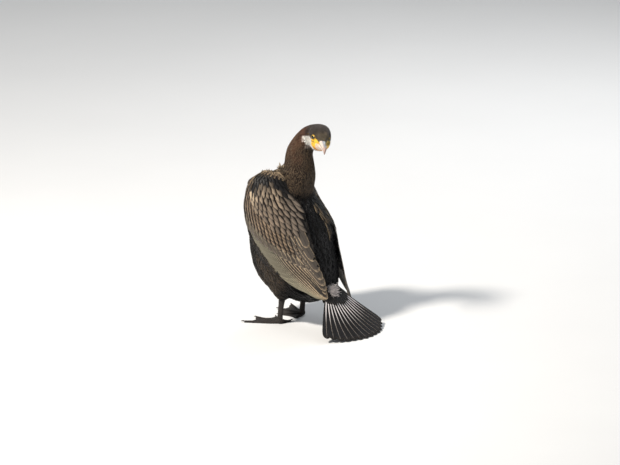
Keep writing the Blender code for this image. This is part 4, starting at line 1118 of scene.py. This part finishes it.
scapulars = {"rowStep": 0.29, "columnStep": 0.074, "yaw": 20.0, "length": 44.0, "halfWidth": 6.5, "thickness": 0.4,
             "drift": ((0.0, 1.0, 2.0, 3.0, 4.0), (0.0, 0.2, 0.325, 0.425, 0.51)),
             "lowEdge": ((0.0, 0.1, 0.225, 0.325, 0.6, 0.8, 1.0), (1.3, 1.6, 2.0, 2.5, 3.35, 3.5, 3.2))}
coverts = {"rows": 13, "rowStep": 0.215, "rowSlope": 1.9, "lastRow": 3.55, "greatRow": 0.30, "columnStep": 0.060,
           "drift": -0.025, "yaw": 20.0, "length": 30.0, "halfWidth": 5.3, "thickness": 0.35}


def lowEdge(across):
    return np.interp(across, *scapulars["lowEdge"])


def shoulderColours(at, across, dice):
    # hood of bronze feathers, black crescent of painted shadow, creamy upper scapulars, then beige-grey ones with
    # dark rims
    count = len(at)
    # painted shadow: a black crescent under the hood, where the hood's feathers shade the wing
    black = rise(0.55, 0.8, at) * rise(0.05, 0.2, across)
    ground = blend(tones["bronze"], tones["black"], black)
    # cream on the upper scapulars near the fore edge: partly their pale colour, partly painted highlight where the
    # light falls
    pale = blend(tones["cream"] * 0.8, tones["taupe"], rise(0.25, 0.45, across) * 0.8 + rise(1.8, 2.8, at) * 0.2)
    pale = blend(pale, tones["tertial"] * 1.3, rise(0.72, 0.95, across))
    pale = blend(tones["covert"] * 0.5, pale, rise(0.06, 0.2, across))
    start = np.interp(across, (0.0, 0.12, 0.25, 0.4, 0.6, 1.0), (2.2, 2.0, 1.65, 1.35, 1.3, 1.45))
    ground = blend(ground, pale, rise(0.0, 0.4, at - start + dice.normal(0.0, 0.15, count)))
    hood = rise(0.1, -0.25, at - start)
    rim = blend(tones["darkRim"] * 0.7, tones["tan"], hood)
    strength = 1.2 * hood * (1.0 - black) * dice.uniform(0.3, 1.0, count)
    strength = np.maximum(strength, rise(0.0, 0.3, at - start))
    ground = ground * dice.uniform(0.62, 1.2, (count, 1))
    return ground, rim, np.clip(strength, 0.0, 1.0)


def makeScapulars(sideName, seed):
    dice = np.random.default_rng(seed)
    places = []
    row, at = 0, 0.12
    while at < 3.4:
        narrow = 0.6 + 0.4 * min(at / 2.0, 1.0)
        step = scapulars["columnStep"] * np.interp(at, (0.0, 1.0, 2.0), (1.8, 1.3, 1.0))
        first = (np.interp(at, *scapulars["drift"]) + (row % 2) * step * 0.5) % step
        for across in np.arange(first, 1.0, step):
            here = at + 0.35 * across * min(at / 2.0, 1.0)
            if here < lowEdge(across) + 0.05 and across < 1.0:
                places.append((here, across))
        at += scapulars["rowStep"] * narrow
        row += 1
    places = np.array(places)
    count = len(places)
    places += dice.normal(0.0, 1.0, places.shape) * np.array((0.022, 0.005))
    at, across = places.T
    size = np.interp(at, (0.0, 1.0, 2.0, 3.0), (0.66, 0.85, 0.95, 1.0))
    yaw = np.radians(scapulars["yaw"] + 6.0 * rise(0.6, 1.0, across) + dice.normal(0.0, 3.0, count))
    shares = pointedVane["shares"]
    spines = walkBack(at, across, scapulars["length"] * size * dice.uniform(0.93, 1.07, count), yaw, shares)
    ground, rim, strength = shoulderColours(at, across, dice)
    if sideName == "right":
        shaded = 1.0 - 0.8 * rise(0.45, 0.7, across)
        ground, rim = ground * shaded[:, None], rim * (0.4 + 0.6 * shaded)[:, None]
        streaked = (dice.random(count) < 0.4) & (across > 0.6) & (at > 0.9) & (at < 2.8)
        rim[streaked] = tones["tan"]
    lift = (1.3 + dice.uniform(-0.2, 0.3, count))[:, None] * shares ** 1.5 + 0.9 - 1.6 * (1.0 - shares) ** 1.2
    order = np.lexsort((across, np.round(at / scapulars["rowStep"])))
    colours = ground, rim, strength, marksFor(count, 0.62, 0.94, ground.mean(1) * 0.35)
    layOnWing("scapulars_" + sideName, sideName, pointedVane, spines, scapulars["halfWidth"] * size,
              scapulars["thickness"], colours, plumageVane, lift, 0.35, 0.45, order)


def makeCoverts(sideName, seed):
    dice = np.random.default_rng(seed)
    places = []
    step = coverts["columnStep"]
    for row in range(coverts["rows"]):
        first = (coverts["drift"] * row + (row % 2) * step * 0.5) % step - step
        rowAt = coverts["lastRow"] - coverts["rowStep"] * row - coverts["greatRow"] * (row > 0)
        for across in np.arange(first, 0.87, step):
            at = rowAt + coverts["rowSlope"] * across
            if at > lowEdge(across) - 0.22 and across > -0.02:
                places.append((at, across, row))
    places = np.array(places)
    count = len(places)
    places[:, :2] += dice.normal(0.0, 1.0, (count, 2)) * np.array((0.018, 0.003))
    at, across, row = places.T
    across = flightLimit(at) + (1.0 - flightLimit(at)) * across
    size = np.interp(row, (0, 1, 3, 12), (1.6, 1.1, 1.0, 0.7))
    yaw = np.radians(coverts["yaw"] + dice.normal(0.0, 2.0, count))
    shares = pointedVane["shares"]
    spines = walkBack(at, across, coverts["length"] * size * dice.uniform(0.94, 1.06, count), yaw, shares)
    dark = rise(0.02, 0.12, across)
    ground = blend(tones["covert"] * 0.45, tones["covert"] * 1.15, dark)
    ground = blend(ground, tones["tertial"], rise(1.5, 0.0, row))
    rim = tones["darkRim"] * dice.uniform(0.6, 1.2, (count, 1))
    great = row == 0
    rim[great] = blend(tones["band"], tones["cream"], rise(0.5, 0.72, across[great]))
    ground[great] = tones["tertial"] * 1.1
    rim = blend(rim * 0.4, rim, dark)
    ground = ground * dice.uniform(0.7, 1.3, (count, 1))
    strength = np.clip(dice.uniform(0.85, 1.1, count), 0.0, 1.0)
    # painted shade: the far wing's coverts are made darker
    if sideName == "right":
        ground, rim = ground * 0.7, rim * 0.7
    lift = (0.8 + dice.uniform(-0.2, 0.2, count))[:, None] * shares ** 1.5 - 1.5 * (1.0 - shares) ** 1.2
    marks = marksFor(count, np.where(great, 0.95, 0.50), np.where(great, 0.95, 0.86), ground.mean(1) * 0.3)
    layOnWing("wing_coverts_" + sideName, sideName, pointedVane, spines, coverts["halfWidth"] * size ** 0.7,
              coverts["thickness"], (ground, rim, strength, marks), plumageCovert, lift, 0.3, 0.3,
              np.lexsort((across, row)))


flightStations = (0, 1, 2, 3, 4, 5, 7, 9, 12, 15, 18, 21, 25)
flights = {
    "count": 26, "tertials": 6, "thickness": 0.5, "droop": 11.0,
    "tipAt": (flightStations, (3.85, 4.6, 5.3, 5.95, 6.5, 6.95, 7.5, 7.9, 8.0, 8.0, 7.9, 7.8, 7.6)),
    "tipAcross": (flightStations, (0.93, 0.95, 0.96, 0.96, 0.96, 0.95, 0.92, 0.8, 0.55, 0.32, 0.17, 0.07, 0.0)),
    "rootAt": ((0, 5, 12, 25), (2.2, 2.8, 3.0, 2.9)), "rootAcross": ((0, 5, 12, 25), (0.80, 0.62, 0.36, 0.02)),
    "halfWidth": ((0, 4, 6, 12, 25), (10.5, 10.5, 8.0, 6.4, 4.6)),
}


def makeFlights(sideName, seed):
    dice = np.random.default_rng(seed)
    rank = np.arange(flights["count"], dtype=float)
    count = len(rank)
    tips, roots = (np.column_stack([np.interp(rank, *flights[end + way]) for way in ("At", "Across")])
                   for end in ("tip", "root"))
    shares = flightVane["shares"]
    places = roots[:, None] + (tips - roots)[:, None] * shares[None, :, None]
    places[..., 1] = flightLimit(places[..., 0]) + (1.0 - flightLimit(places[..., 0])) * places[..., 1]
    places[..., 1] += np.sin(math.pi * shares) * 0.02 * rise(14.0, 4.0, rank)[:, None]
    tertial = rise(6.0, 4.0, rank)
    ground = blend(tones["tertial"] * 0.34, tones["band"] * 0.55, rise(11.0, 17.0, rank))
    ground = blend(ground, tones["tertial"] * 0.8, tertial) * dice.uniform(0.9, 1.1, (count, 1))
    rim = blend(tones["tan"] * 1.1, tones["band"] * 1.3, rise(8.0, 15.0, rank))
    if sideName == "right":
        shaded = 1.0 - 0.72 * rise(14.0, 6.0, rank)
        ground, rim = ground * shaded[:, None], rim * (0.35 + 0.65 * shaded)[:, None]
    marks = marksFor(count, np.interp(rank, (5.0, 6.0, 13.0, 16.0), (0.86, 0.93, 0.93, 1.08)), 0.975,
                     ground.mean(1) * 0.2)
    lift = -2.2 + 0.9 * tertial[:, None] + 1.2 * shares + 0.02 * rank[::-1][:, None] + 0.4 * rise(0.2, 0.5, shares)
    droop = flights["droop"] * rise(0.55, 1.0, shares) * (rise(3.0, 7.0, rank) * rise(20.0, 14.0, rank))[:, None]
    halfWidth = np.interp(rank, *flights["halfWidth"])
    inner = rank < flights["tertials"]
    for label, own, material, replaced in (("tertials_", inner, plumageTertial, ()),
                                           ("flight_feathers_", ~inner, plumageFlight, ("wing_tip_" + sideName,))):
        layOnWing(label + sideName, sideName, flightVane, places[own], halfWidth[own], flights["thickness"],
                  (ground[own], rim[own], 0.85, marks[own]), material, lift[own], -0.55, 0.5,
                  np.arange(own.sum()), replaced, droop[own])


for number, sideName in enumerate(sides):
    makeFlights(sideName, 300 + number)
    makeCoverts(sideName, 310 + number)
    makeScapulars(sideName, 320 + number)


# Tail: fourteen long stiff feathers with pale raised shafts, fanned and bent up onto the floor
tail = {"feathers": 14, "length": 156.0, "sideShare": 0.88, "spread": 40.0, "rootHalf": 19.0,
        "rootAt": (0.0, 112.0, 80.75), "tipSlope": 20.0, "bend": 1.5, "steps": 60, "crown": 0.0013,
        "startShare": -0.04, "overlap": 1.3, "thickness": 0.55, "rootThick": 12.0, "tipThick": 1.3,
        "widening": 0.0997, "lean": 0.42, "cup": 0.25, "shaftHalf": 1.9, "shaftThick": 1.0}


def tailLine(rootSlope):
    # distance back, height and slope down the middle of the tail
    share = (np.arange(tail["steps"] + 1) / tail["steps"]) ** tail["bend"]
    slope = np.radians(rootSlope + (tail["tipSlope"] - rootSlope) * share)
    stride = tail["length"] / tail["steps"]
    back = np.concatenate([[0.0], np.cumsum(np.cos(slope[:-1]))]) * stride
    height = -np.concatenate([[0.0], np.cumsum(np.sin(slope[:-1]))]) * stride
    return np.column_stack([back, height, slope])


def settledTailLine(drop):
    # the slope at the root that brings the tip down by the drop
    low, high = 10.0, 85.0
    for _ in range(30):
        middle = (low + high) / 2.0
        low, high = (middle, high) if -tailLine(middle)[-1, 1] < drop else (low, middle)
    return tailLine((low + high) / 2.0)


tailRows = settledTailLine(tail["rootAt"][2] + bodyShift[2] / mm - tail["tipThick"] / 2.0)


def tailPoint(along, aside, lift):
    # places on or above the tail's crowned middle surface, and their normals
    place = along / tail["length"] * tail["steps"]
    row = smoothRow(tailRows, np.clip(place, 0.0, tail["steps"]))
    back, height, slope = row[..., 0], row[..., 1], row[..., 2]
    over = np.minimum(place, 0.0) * tail["length"] / tail["steps"]
    back, height = back + over * np.cos(slope), height - over * np.sin(slope)
    above = lift - tail["crown"] * aside * aside
    offset = np.stack([aside, back + above * np.sin(slope), height + above * np.cos(slope)], axis=-1)
    normal = np.stack([2.0 * tail["crown"] * aside, np.sin(slope), np.cos(slope)], axis=-1)
    return (np.array(tail["rootAt"]) + offset) * mm + bodyShift, unit(normal)


def tailFan(reach, angle, rootAside, raised, face=1.0):
    # spines fanned from the root of the tail, raised from the upper face of its solid, or from the lower one
    down = np.clip(reach / tail["length"], 0.0, 1.0)
    half = (tail["rootThick"] + (tail["tipThick"] - tail["rootThick"]) * down ** 0.45) / 2.0
    aside = rootAside[:, None] + reach * np.sin(angle)[:, None]
    return tailPoint(reach * np.cos(angle)[:, None], aside, (half + raised) * face)


tailMiddle = (tail["feathers"] - 1) / 2.0
tailShares = np.array(tuple(np.linspace(0.0, 0.88, 20)) + (0.93, 0.965, 0.985, 1.0))
tailWidths = (tail["rootHalf"] / tailMiddle + tailShares * tail["widening"] * tail["length"]) * 0.5 * np.interp(
    tailShares, (0.0, 0.86, 0.94, 0.98, 1.0), (1.0, 1.0, 0.86, 0.55, 0.0)) * tail["overlap"]
tailVane = vaneTemplate(12, tailShares, tailWidths / tailWidths.max(),
                        np.interp(tailShares, (0.0, 0.9, 1.0), (1.0, 0.8, 0.2)))
shaftShares = np.linspace(0.0, 1.0, 20)
shaftTaper = np.interp(shaftShares, (0.0, 0.5, 1.0), (1.0, 0.62, 0.25))
shaftVane = vaneTemplate(6, shaftShares, shaftTaper, shaftTaper)


def makeTail():
    dice = np.random.default_rng(401)
    offset = (np.arange(tail["feathers"], dtype=float) - tailMiddle) / tailMiddle
    share = offset * tailMiddle / (tailMiddle + 0.5)
    count = len(offset)
    angle, rootAside = np.radians(tail["spread"]) * share, tail["rootHalf"] * share
    length = tail["length"] * (1.0 - (1.0 - tail["sideShare"]) * offset ** 2) * dice.uniform(0.985, 1.0, count)
    reach = length[:, None] * (tail["startShare"] + (1.0 - tail["startShare"]) * tailShares)
    spine, normal = tailFan(reach, angle, rootAside, -tail["thickness"] * 0.9)
    tone = blend(tones["slate"], tones["slate"] * 1.5 + 0.006, rise(0.2, 1.0, np.abs(offset)))
    ground = tone * dice.uniform(0.85, 1.15, (count, 1))
    cells = cellPlaces(np.arange(count))
    layVanes("tail_feathers", tailVane, spine, normal, tailWidths.max(), tail["thickness"],
             (ground, tones["taupe"] * 0.14, 0.6, marksFor(count, 0.9, 0.955, 0.02)), plumageTail,
             0.0, cells, -tail["lean"] * np.sign(offset), tail["cup"], 0.0, ("tail",))
    reach = length[:, None] * (0.02 + 0.955 * shaftShares)
    spine, normal = tailFan(reach, angle, rootAside, -0.25)
    ground = tones["white"] * dice.uniform(0.85, 1.1, (count, 1))
    layVanes("tail_shafts", shaftVane, spine, normal, tail["shaftHalf"], tail["shaftThick"],
             (ground, tones["taupe"] * 0.7, 1.0, marksFor(count, 3.0, 0.6, 0.7)), plumageFine,
             0.0, cells, 0.0, 0.0, 0.0)


makeTail()

tailCoverts = {     # reach of the tips, length and face for each layer
    "layers": ((46.0, 40.0, 1.0), (34.0, 34.0, 1.0), (22.0, 30.0, 1.0), (12.0, 26.0, 1.0), (40.0, 38.0, -1.0),
               (26.0, 32.0, -1.0), (14.0, 26.0, -1.0)),
    "inLayer": 13, "spread": 36.0, "rootHalf": 21.0, "halfWidth": 5.2, "thickness": 0.4,
}


def makeTailCoverts():
    # black feathers over and under the root of the tail
    dice = np.random.default_rng(411)
    shares = bluntVane["shares"]
    rows = [(reachTip * (1.0 - 0.25 * offset ** 2), size, face, offset, layer)
            for layer, (reachTip, size, face) in enumerate(tailCoverts["layers"])
            for offset in np.linspace(-1.0, 1.0, tailCoverts["inLayer"]) + (layer % 2) * 0.07]
    tips, size, face, offset, layer = np.array(rows).T
    count = len(rows)
    tips = tips + dice.normal(0.0, 2.0, count)
    reach = tips[:, None] - size[:, None] * (1.0 - shares)
    raised = 0.5 + 0.24 * (4.0 - np.minimum(layer, 4.0))
    spine, normal = tailFan(reach, np.radians(tailCoverts["spread"]) * offset, tailCoverts["rootHalf"] * offset,
                            raised[:, None], face[:, None])
    ground = tones["black"] * dice.uniform(0.8, 2.2, (count, 1))
    layVanes("tail_coverts", bluntVane, spine, normal * face[:, None, None], tailCoverts["halfWidth"],
             tailCoverts["thickness"], (ground, tones["tertial"] * 0.6, 0.5, marksFor(count, 0.85, 0.93, 0.004)),
             plumageVane, 0.4 * shares - 1.5 * (1.0 - shares), cellPlaces(np.arange(count)),
             0.0, 0.5)


makeTailCoverts()

whiteDown = {"count": 620, "length": (8.0, 15.0), "curl": 3.0, "halfWidth": 0.55, "thickness": 0.3, "height": 6.5}


def makeDown():
    # a ragged white tuft beside the root of the tail, where the body feathers part
    dice = np.random.default_rng(421)
    count, shares = whiteDown["count"], bodyVane["shares"]
    aside = dice.normal(7.0, 5.0, count)
    reach = dice.normal(2.0, 6.5, count)
    start, normal = tailPoint(reach, aside, np.full(count, whiteDown["height"]))
    way = unit(normal * 0.75 + np.column_stack([dice.normal(0.0, 0.45, count), dice.normal(0.75, 0.35, count),
                                                dice.normal(-0.25, 0.35, count)]))
    length = dice.uniform(*whiteDown["length"], count)
    spine = sprung(start, way, length, shares, dice.normal(0.0, whiteDown["curl"], (count, 3)))
    up = np.repeat(normal[:, None], len(shares), axis=1)
    ground = blend(tones["white"], tones["fringe"], dice.random(count) * 0.25) * dice.uniform(0.9, 1.1, (count, 1))
    patchAt = 0.01 + 0.97 * (np.column_stack([aside, reach]) + 30.0) / 70.0
    layVanes("white_down", bodyVane, spine, up, whiteDown["halfWidth"], whiteDown["thickness"],
             (ground, ground, 0.0, marksFor(count, 3.0, 3.0, 0.6)), plumageFine, 0.0,
             (np.clip(patchAt, 0.01, 0.98), laying["patch"]))


makeDown()


# Bill: both halves as in the solids, with more rings, a hooked tip, a groove beside the ridge
bill = {
    "upper": ((10, 10.4, 9.6, -4.4), (16, 10.2, 8.6, -4.6), (26, 8, 5.8, -4.9), (38, 6.2, 3.6, -5.4),
              (50, 5.2, 2.6, -5.8), (60, 4.7, 2.6, -6.2), (67, 4.2, 2, -7), (71.5, 3.2, 0, -9.5),
              (74.3, 2, -3.6, -12.2), (75.2, 0.9, -8.4, -13.6)),
    "lower": ((8, 10.4, -4.7, -18.8), (16, 9.6, -4.9, -17.6), (28, 7.2, -5.2, -15.4), (40, 5.4, -5.7, -12.4),
              (52, 4.2, -6.1, -11.2), (62, 3.2, -6.5, -10.2), (67, 1.6, -7.4, -9.4)),
    "upperRoundness": 2.6, "lowerRoundness": 2.4, "corners": 28, "ringsPerStation": 5, "groove": 0.25,
}
# two tones here are painted shade: the bill's far side, and the dark edge line along the mouth where the halves
# meet
hornTones = {"ridge": (0.16, 0.175, 0.21), "side": (0.72, 0.62, 0.55), "shadedSide": (0.19, 0.185, 0.13),
             "tip": (0.42, 0.27, 0.22), "edge": (0.10, 0.07, 0.05), "base": (0.70, 0.46, 0.20)}
hornTones = {label: np.array(value) for label, value in hornTones.items()}


def makeBill():
    for part in ("upper", "lower"):
        stations = np.array(bill[part], dtype=float)
        rings = []
        for ring in roundedRings(stations, bill["ringsPerStation"], bill["corners"], bill[part + "Roundness"]):
            if part == "upper":          # a groove runs along each side of the ridge
                low, high = ring[:, 2].min(), ring[:, 2].max()
                width = max(np.abs(ring[:, 1]).max(), 0.1)
                groove = np.exp(-((np.abs(ring[:, 1]) / width - 0.55) / 0.12) ** 2)
                groove *= ring[:, 2] > (low + high) / 2.0
                ring[:, 2] -= groove * bill["groove"] * rise(66.0, 50.0, ring[0, 0])
            rings.append(fromHead(ring).tolist())
        mesh = loftRings(rings)
        points = pointsOf(mesh)
        forward, left, up = toHead(points).T
        top, bottom = (np.interp(forward, stations[:, 0], stations[:, column]) for column in (2, 3))
        # painted shade: the bill's left side, turned away from the light, is olive-grey
        colour = blend(hornTones["side"], hornTones["shadedSide"], rise(0.5, 2.5, left))
        if part == "upper":
            ridge = rise(-2.6, -0.5, up - top) * rise(3.4, 1.8, np.abs(left))
            colour = blend(colour, hornTones["ridge"], ridge * 0.9)
            # painted shade along the mouth, on the upper half's lower edge
            colour = blend(colour, hornTones["edge"], rise(1.4, 0.2, np.abs(up - bottom)) * 0.6)
            colour = blend(colour, hornTones["tip"], rise(62.0, 70.0, forward) * 0.85)
        else:
            colour = blend(colour, hornTones["base"], rise(32.0, 18.0, forward) * 0.6)
            # painted shade along the mouth, on the lower half's upper edge
            colour = blend(colour, hornTones["edge"], rise(2.0, 0.4, top - up) * 0.6)
        colour = colour * (1.0 + 0.12 * mottle(points, 6.0, 51))[:, None]
        paint(mesh, "Plumage", np.clip(colour, 0.01, 1.0))
        addPiece("bill_" + part + "_horn", mesh, billHorn, ("bill_" + part,))


makeBill()
print("bill made")


# Eyes and lids
def placeOnAxis(bm, middle, axis):
    # turns a shape made round +Z at the origin onto a place and direction
    turned = Vector((0.0, 0.0, 1.0)).rotation_difference(Vector(axis)).to_matrix().to_4x4()
    turned.translation = Vector(middle)
    bmesh.ops.transform(bm, matrix=turned, verts=bm.verts)


def makeEyes():
    for sideName, side in sides.items():
        middle, gaze = eyePlaces(side)
        bm = bmesh.new()
        bmesh.ops.create_uvsphere(bm, u_segments=40, v_segments=48, radius=eye["radius"] * mm)
        iris = bm.loops.layers.uv.new("Iris")
        for face in bm.faces:
            for loop in face.loops:
                x, y, z = loop.vert.co.normalized()
                loop[iris].uv = (math.atan2(y, x) / (2.0 * math.pi) + 0.5,
                                 math.acos(max(-1.0, min(1.0, z))) / math.pi)
        placeOnAxis(bm, middle, gaze)
        addPiece("eyeball_" + sideName, meshFrom(bm, "ball"), wetEye, ("eye_" + sideName,))
        bm = bmesh.new()
        rim = math.sqrt(eye["radius"] ** 2 - eye["opening"] ** 2)
        bmesh.ops.create_circle(bm, segments=10, radius=eye["lidWidth"] * mm)
        bmesh.ops.rotate(bm, cent=(0, 0, 0), matrix=Matrix.Rotation(math.pi / 2.0, 3, "X"), verts=bm.verts)
        bmesh.ops.translate(bm, vec=(eye["opening"] * mm, 0.0, rim * mm), verts=bm.verts)
        bmesh.ops.spin(bm, geom=list(bm.verts) + list(bm.edges), cent=(0, 0, 0), axis=(0, 0, 1),
                       angle=2.0 * math.pi, steps=72, use_merge=True)
        for vert in bm.verts:            # the lid is beaded and a little longer than high
            angle = math.atan2(vert.co.y, vert.co.x)
            spine = Vector((math.cos(angle), math.sin(angle), 0.0)) * eye["opening"] * mm + Vector((0, 0, rim * mm))
            vert.co = spine + (vert.co - spine) * (0.9 + 0.16 * math.cos(24.0 * angle))
        bmesh.ops.recalc_face_normals(bm, faces=bm.faces)
        placeOnAxis(bm, middle, gaze)
        mesh = meshFrom(bm, "lid")
        beads = rise(-0.6, 0.8, mottle(pointsOf(mesh), 5.0, 61))
        paint(mesh, "Plumage", blend(tones["spot"] * 1.2, tones["yellow"] * 0.8, beads))
        addPiece("eyelids_" + sideName, mesh, skinMaterial)


makeEyes()
print("eyes made")


# Legs: tarsus and foot as one skin, flat underneath, and glossy claws
legs = {"voxel": 0.9, "swell": 0.25, "smoothing": 3, "claw": (0.02, 0.017, 0.016)}


def makeLegs():
    for sideName in sides:
        names = ["tarsus_" + sideName, "foot_" + sideName]
        mesh = fused(nodeCopies(names, legs["swell"]), legs)
        points, normals = pointsOf(mesh), normalsOf(mesh)
        height = points[:, 2] / mm
        wrinkle = np.abs(mottle(points, 7.0, 71)) * 0.3 * rise(0.4, 2.5, height)
        points = points - normals * (wrinkle * mm)[:, None]
        points[:, 2] = np.where(height < 0.5, 0.0, points[:, 2])
        setPoints(mesh, points)
        addPiece("leg_skin_" + sideName, mesh, legSkin, names)
        for number in range(1, 5):
            name = "claw_%s_%d" % (sideName, number)
            mesh = evaluated(nodeCopies([name], 0.0), (("SUBSURF", {"levels": 2, "render_levels": 2}),))
            paint(mesh, "Plumage", legs["claw"])
            addPiece(name + "_horn", mesh, clawHorn, (name,))


makeLegs()
print("legs made")
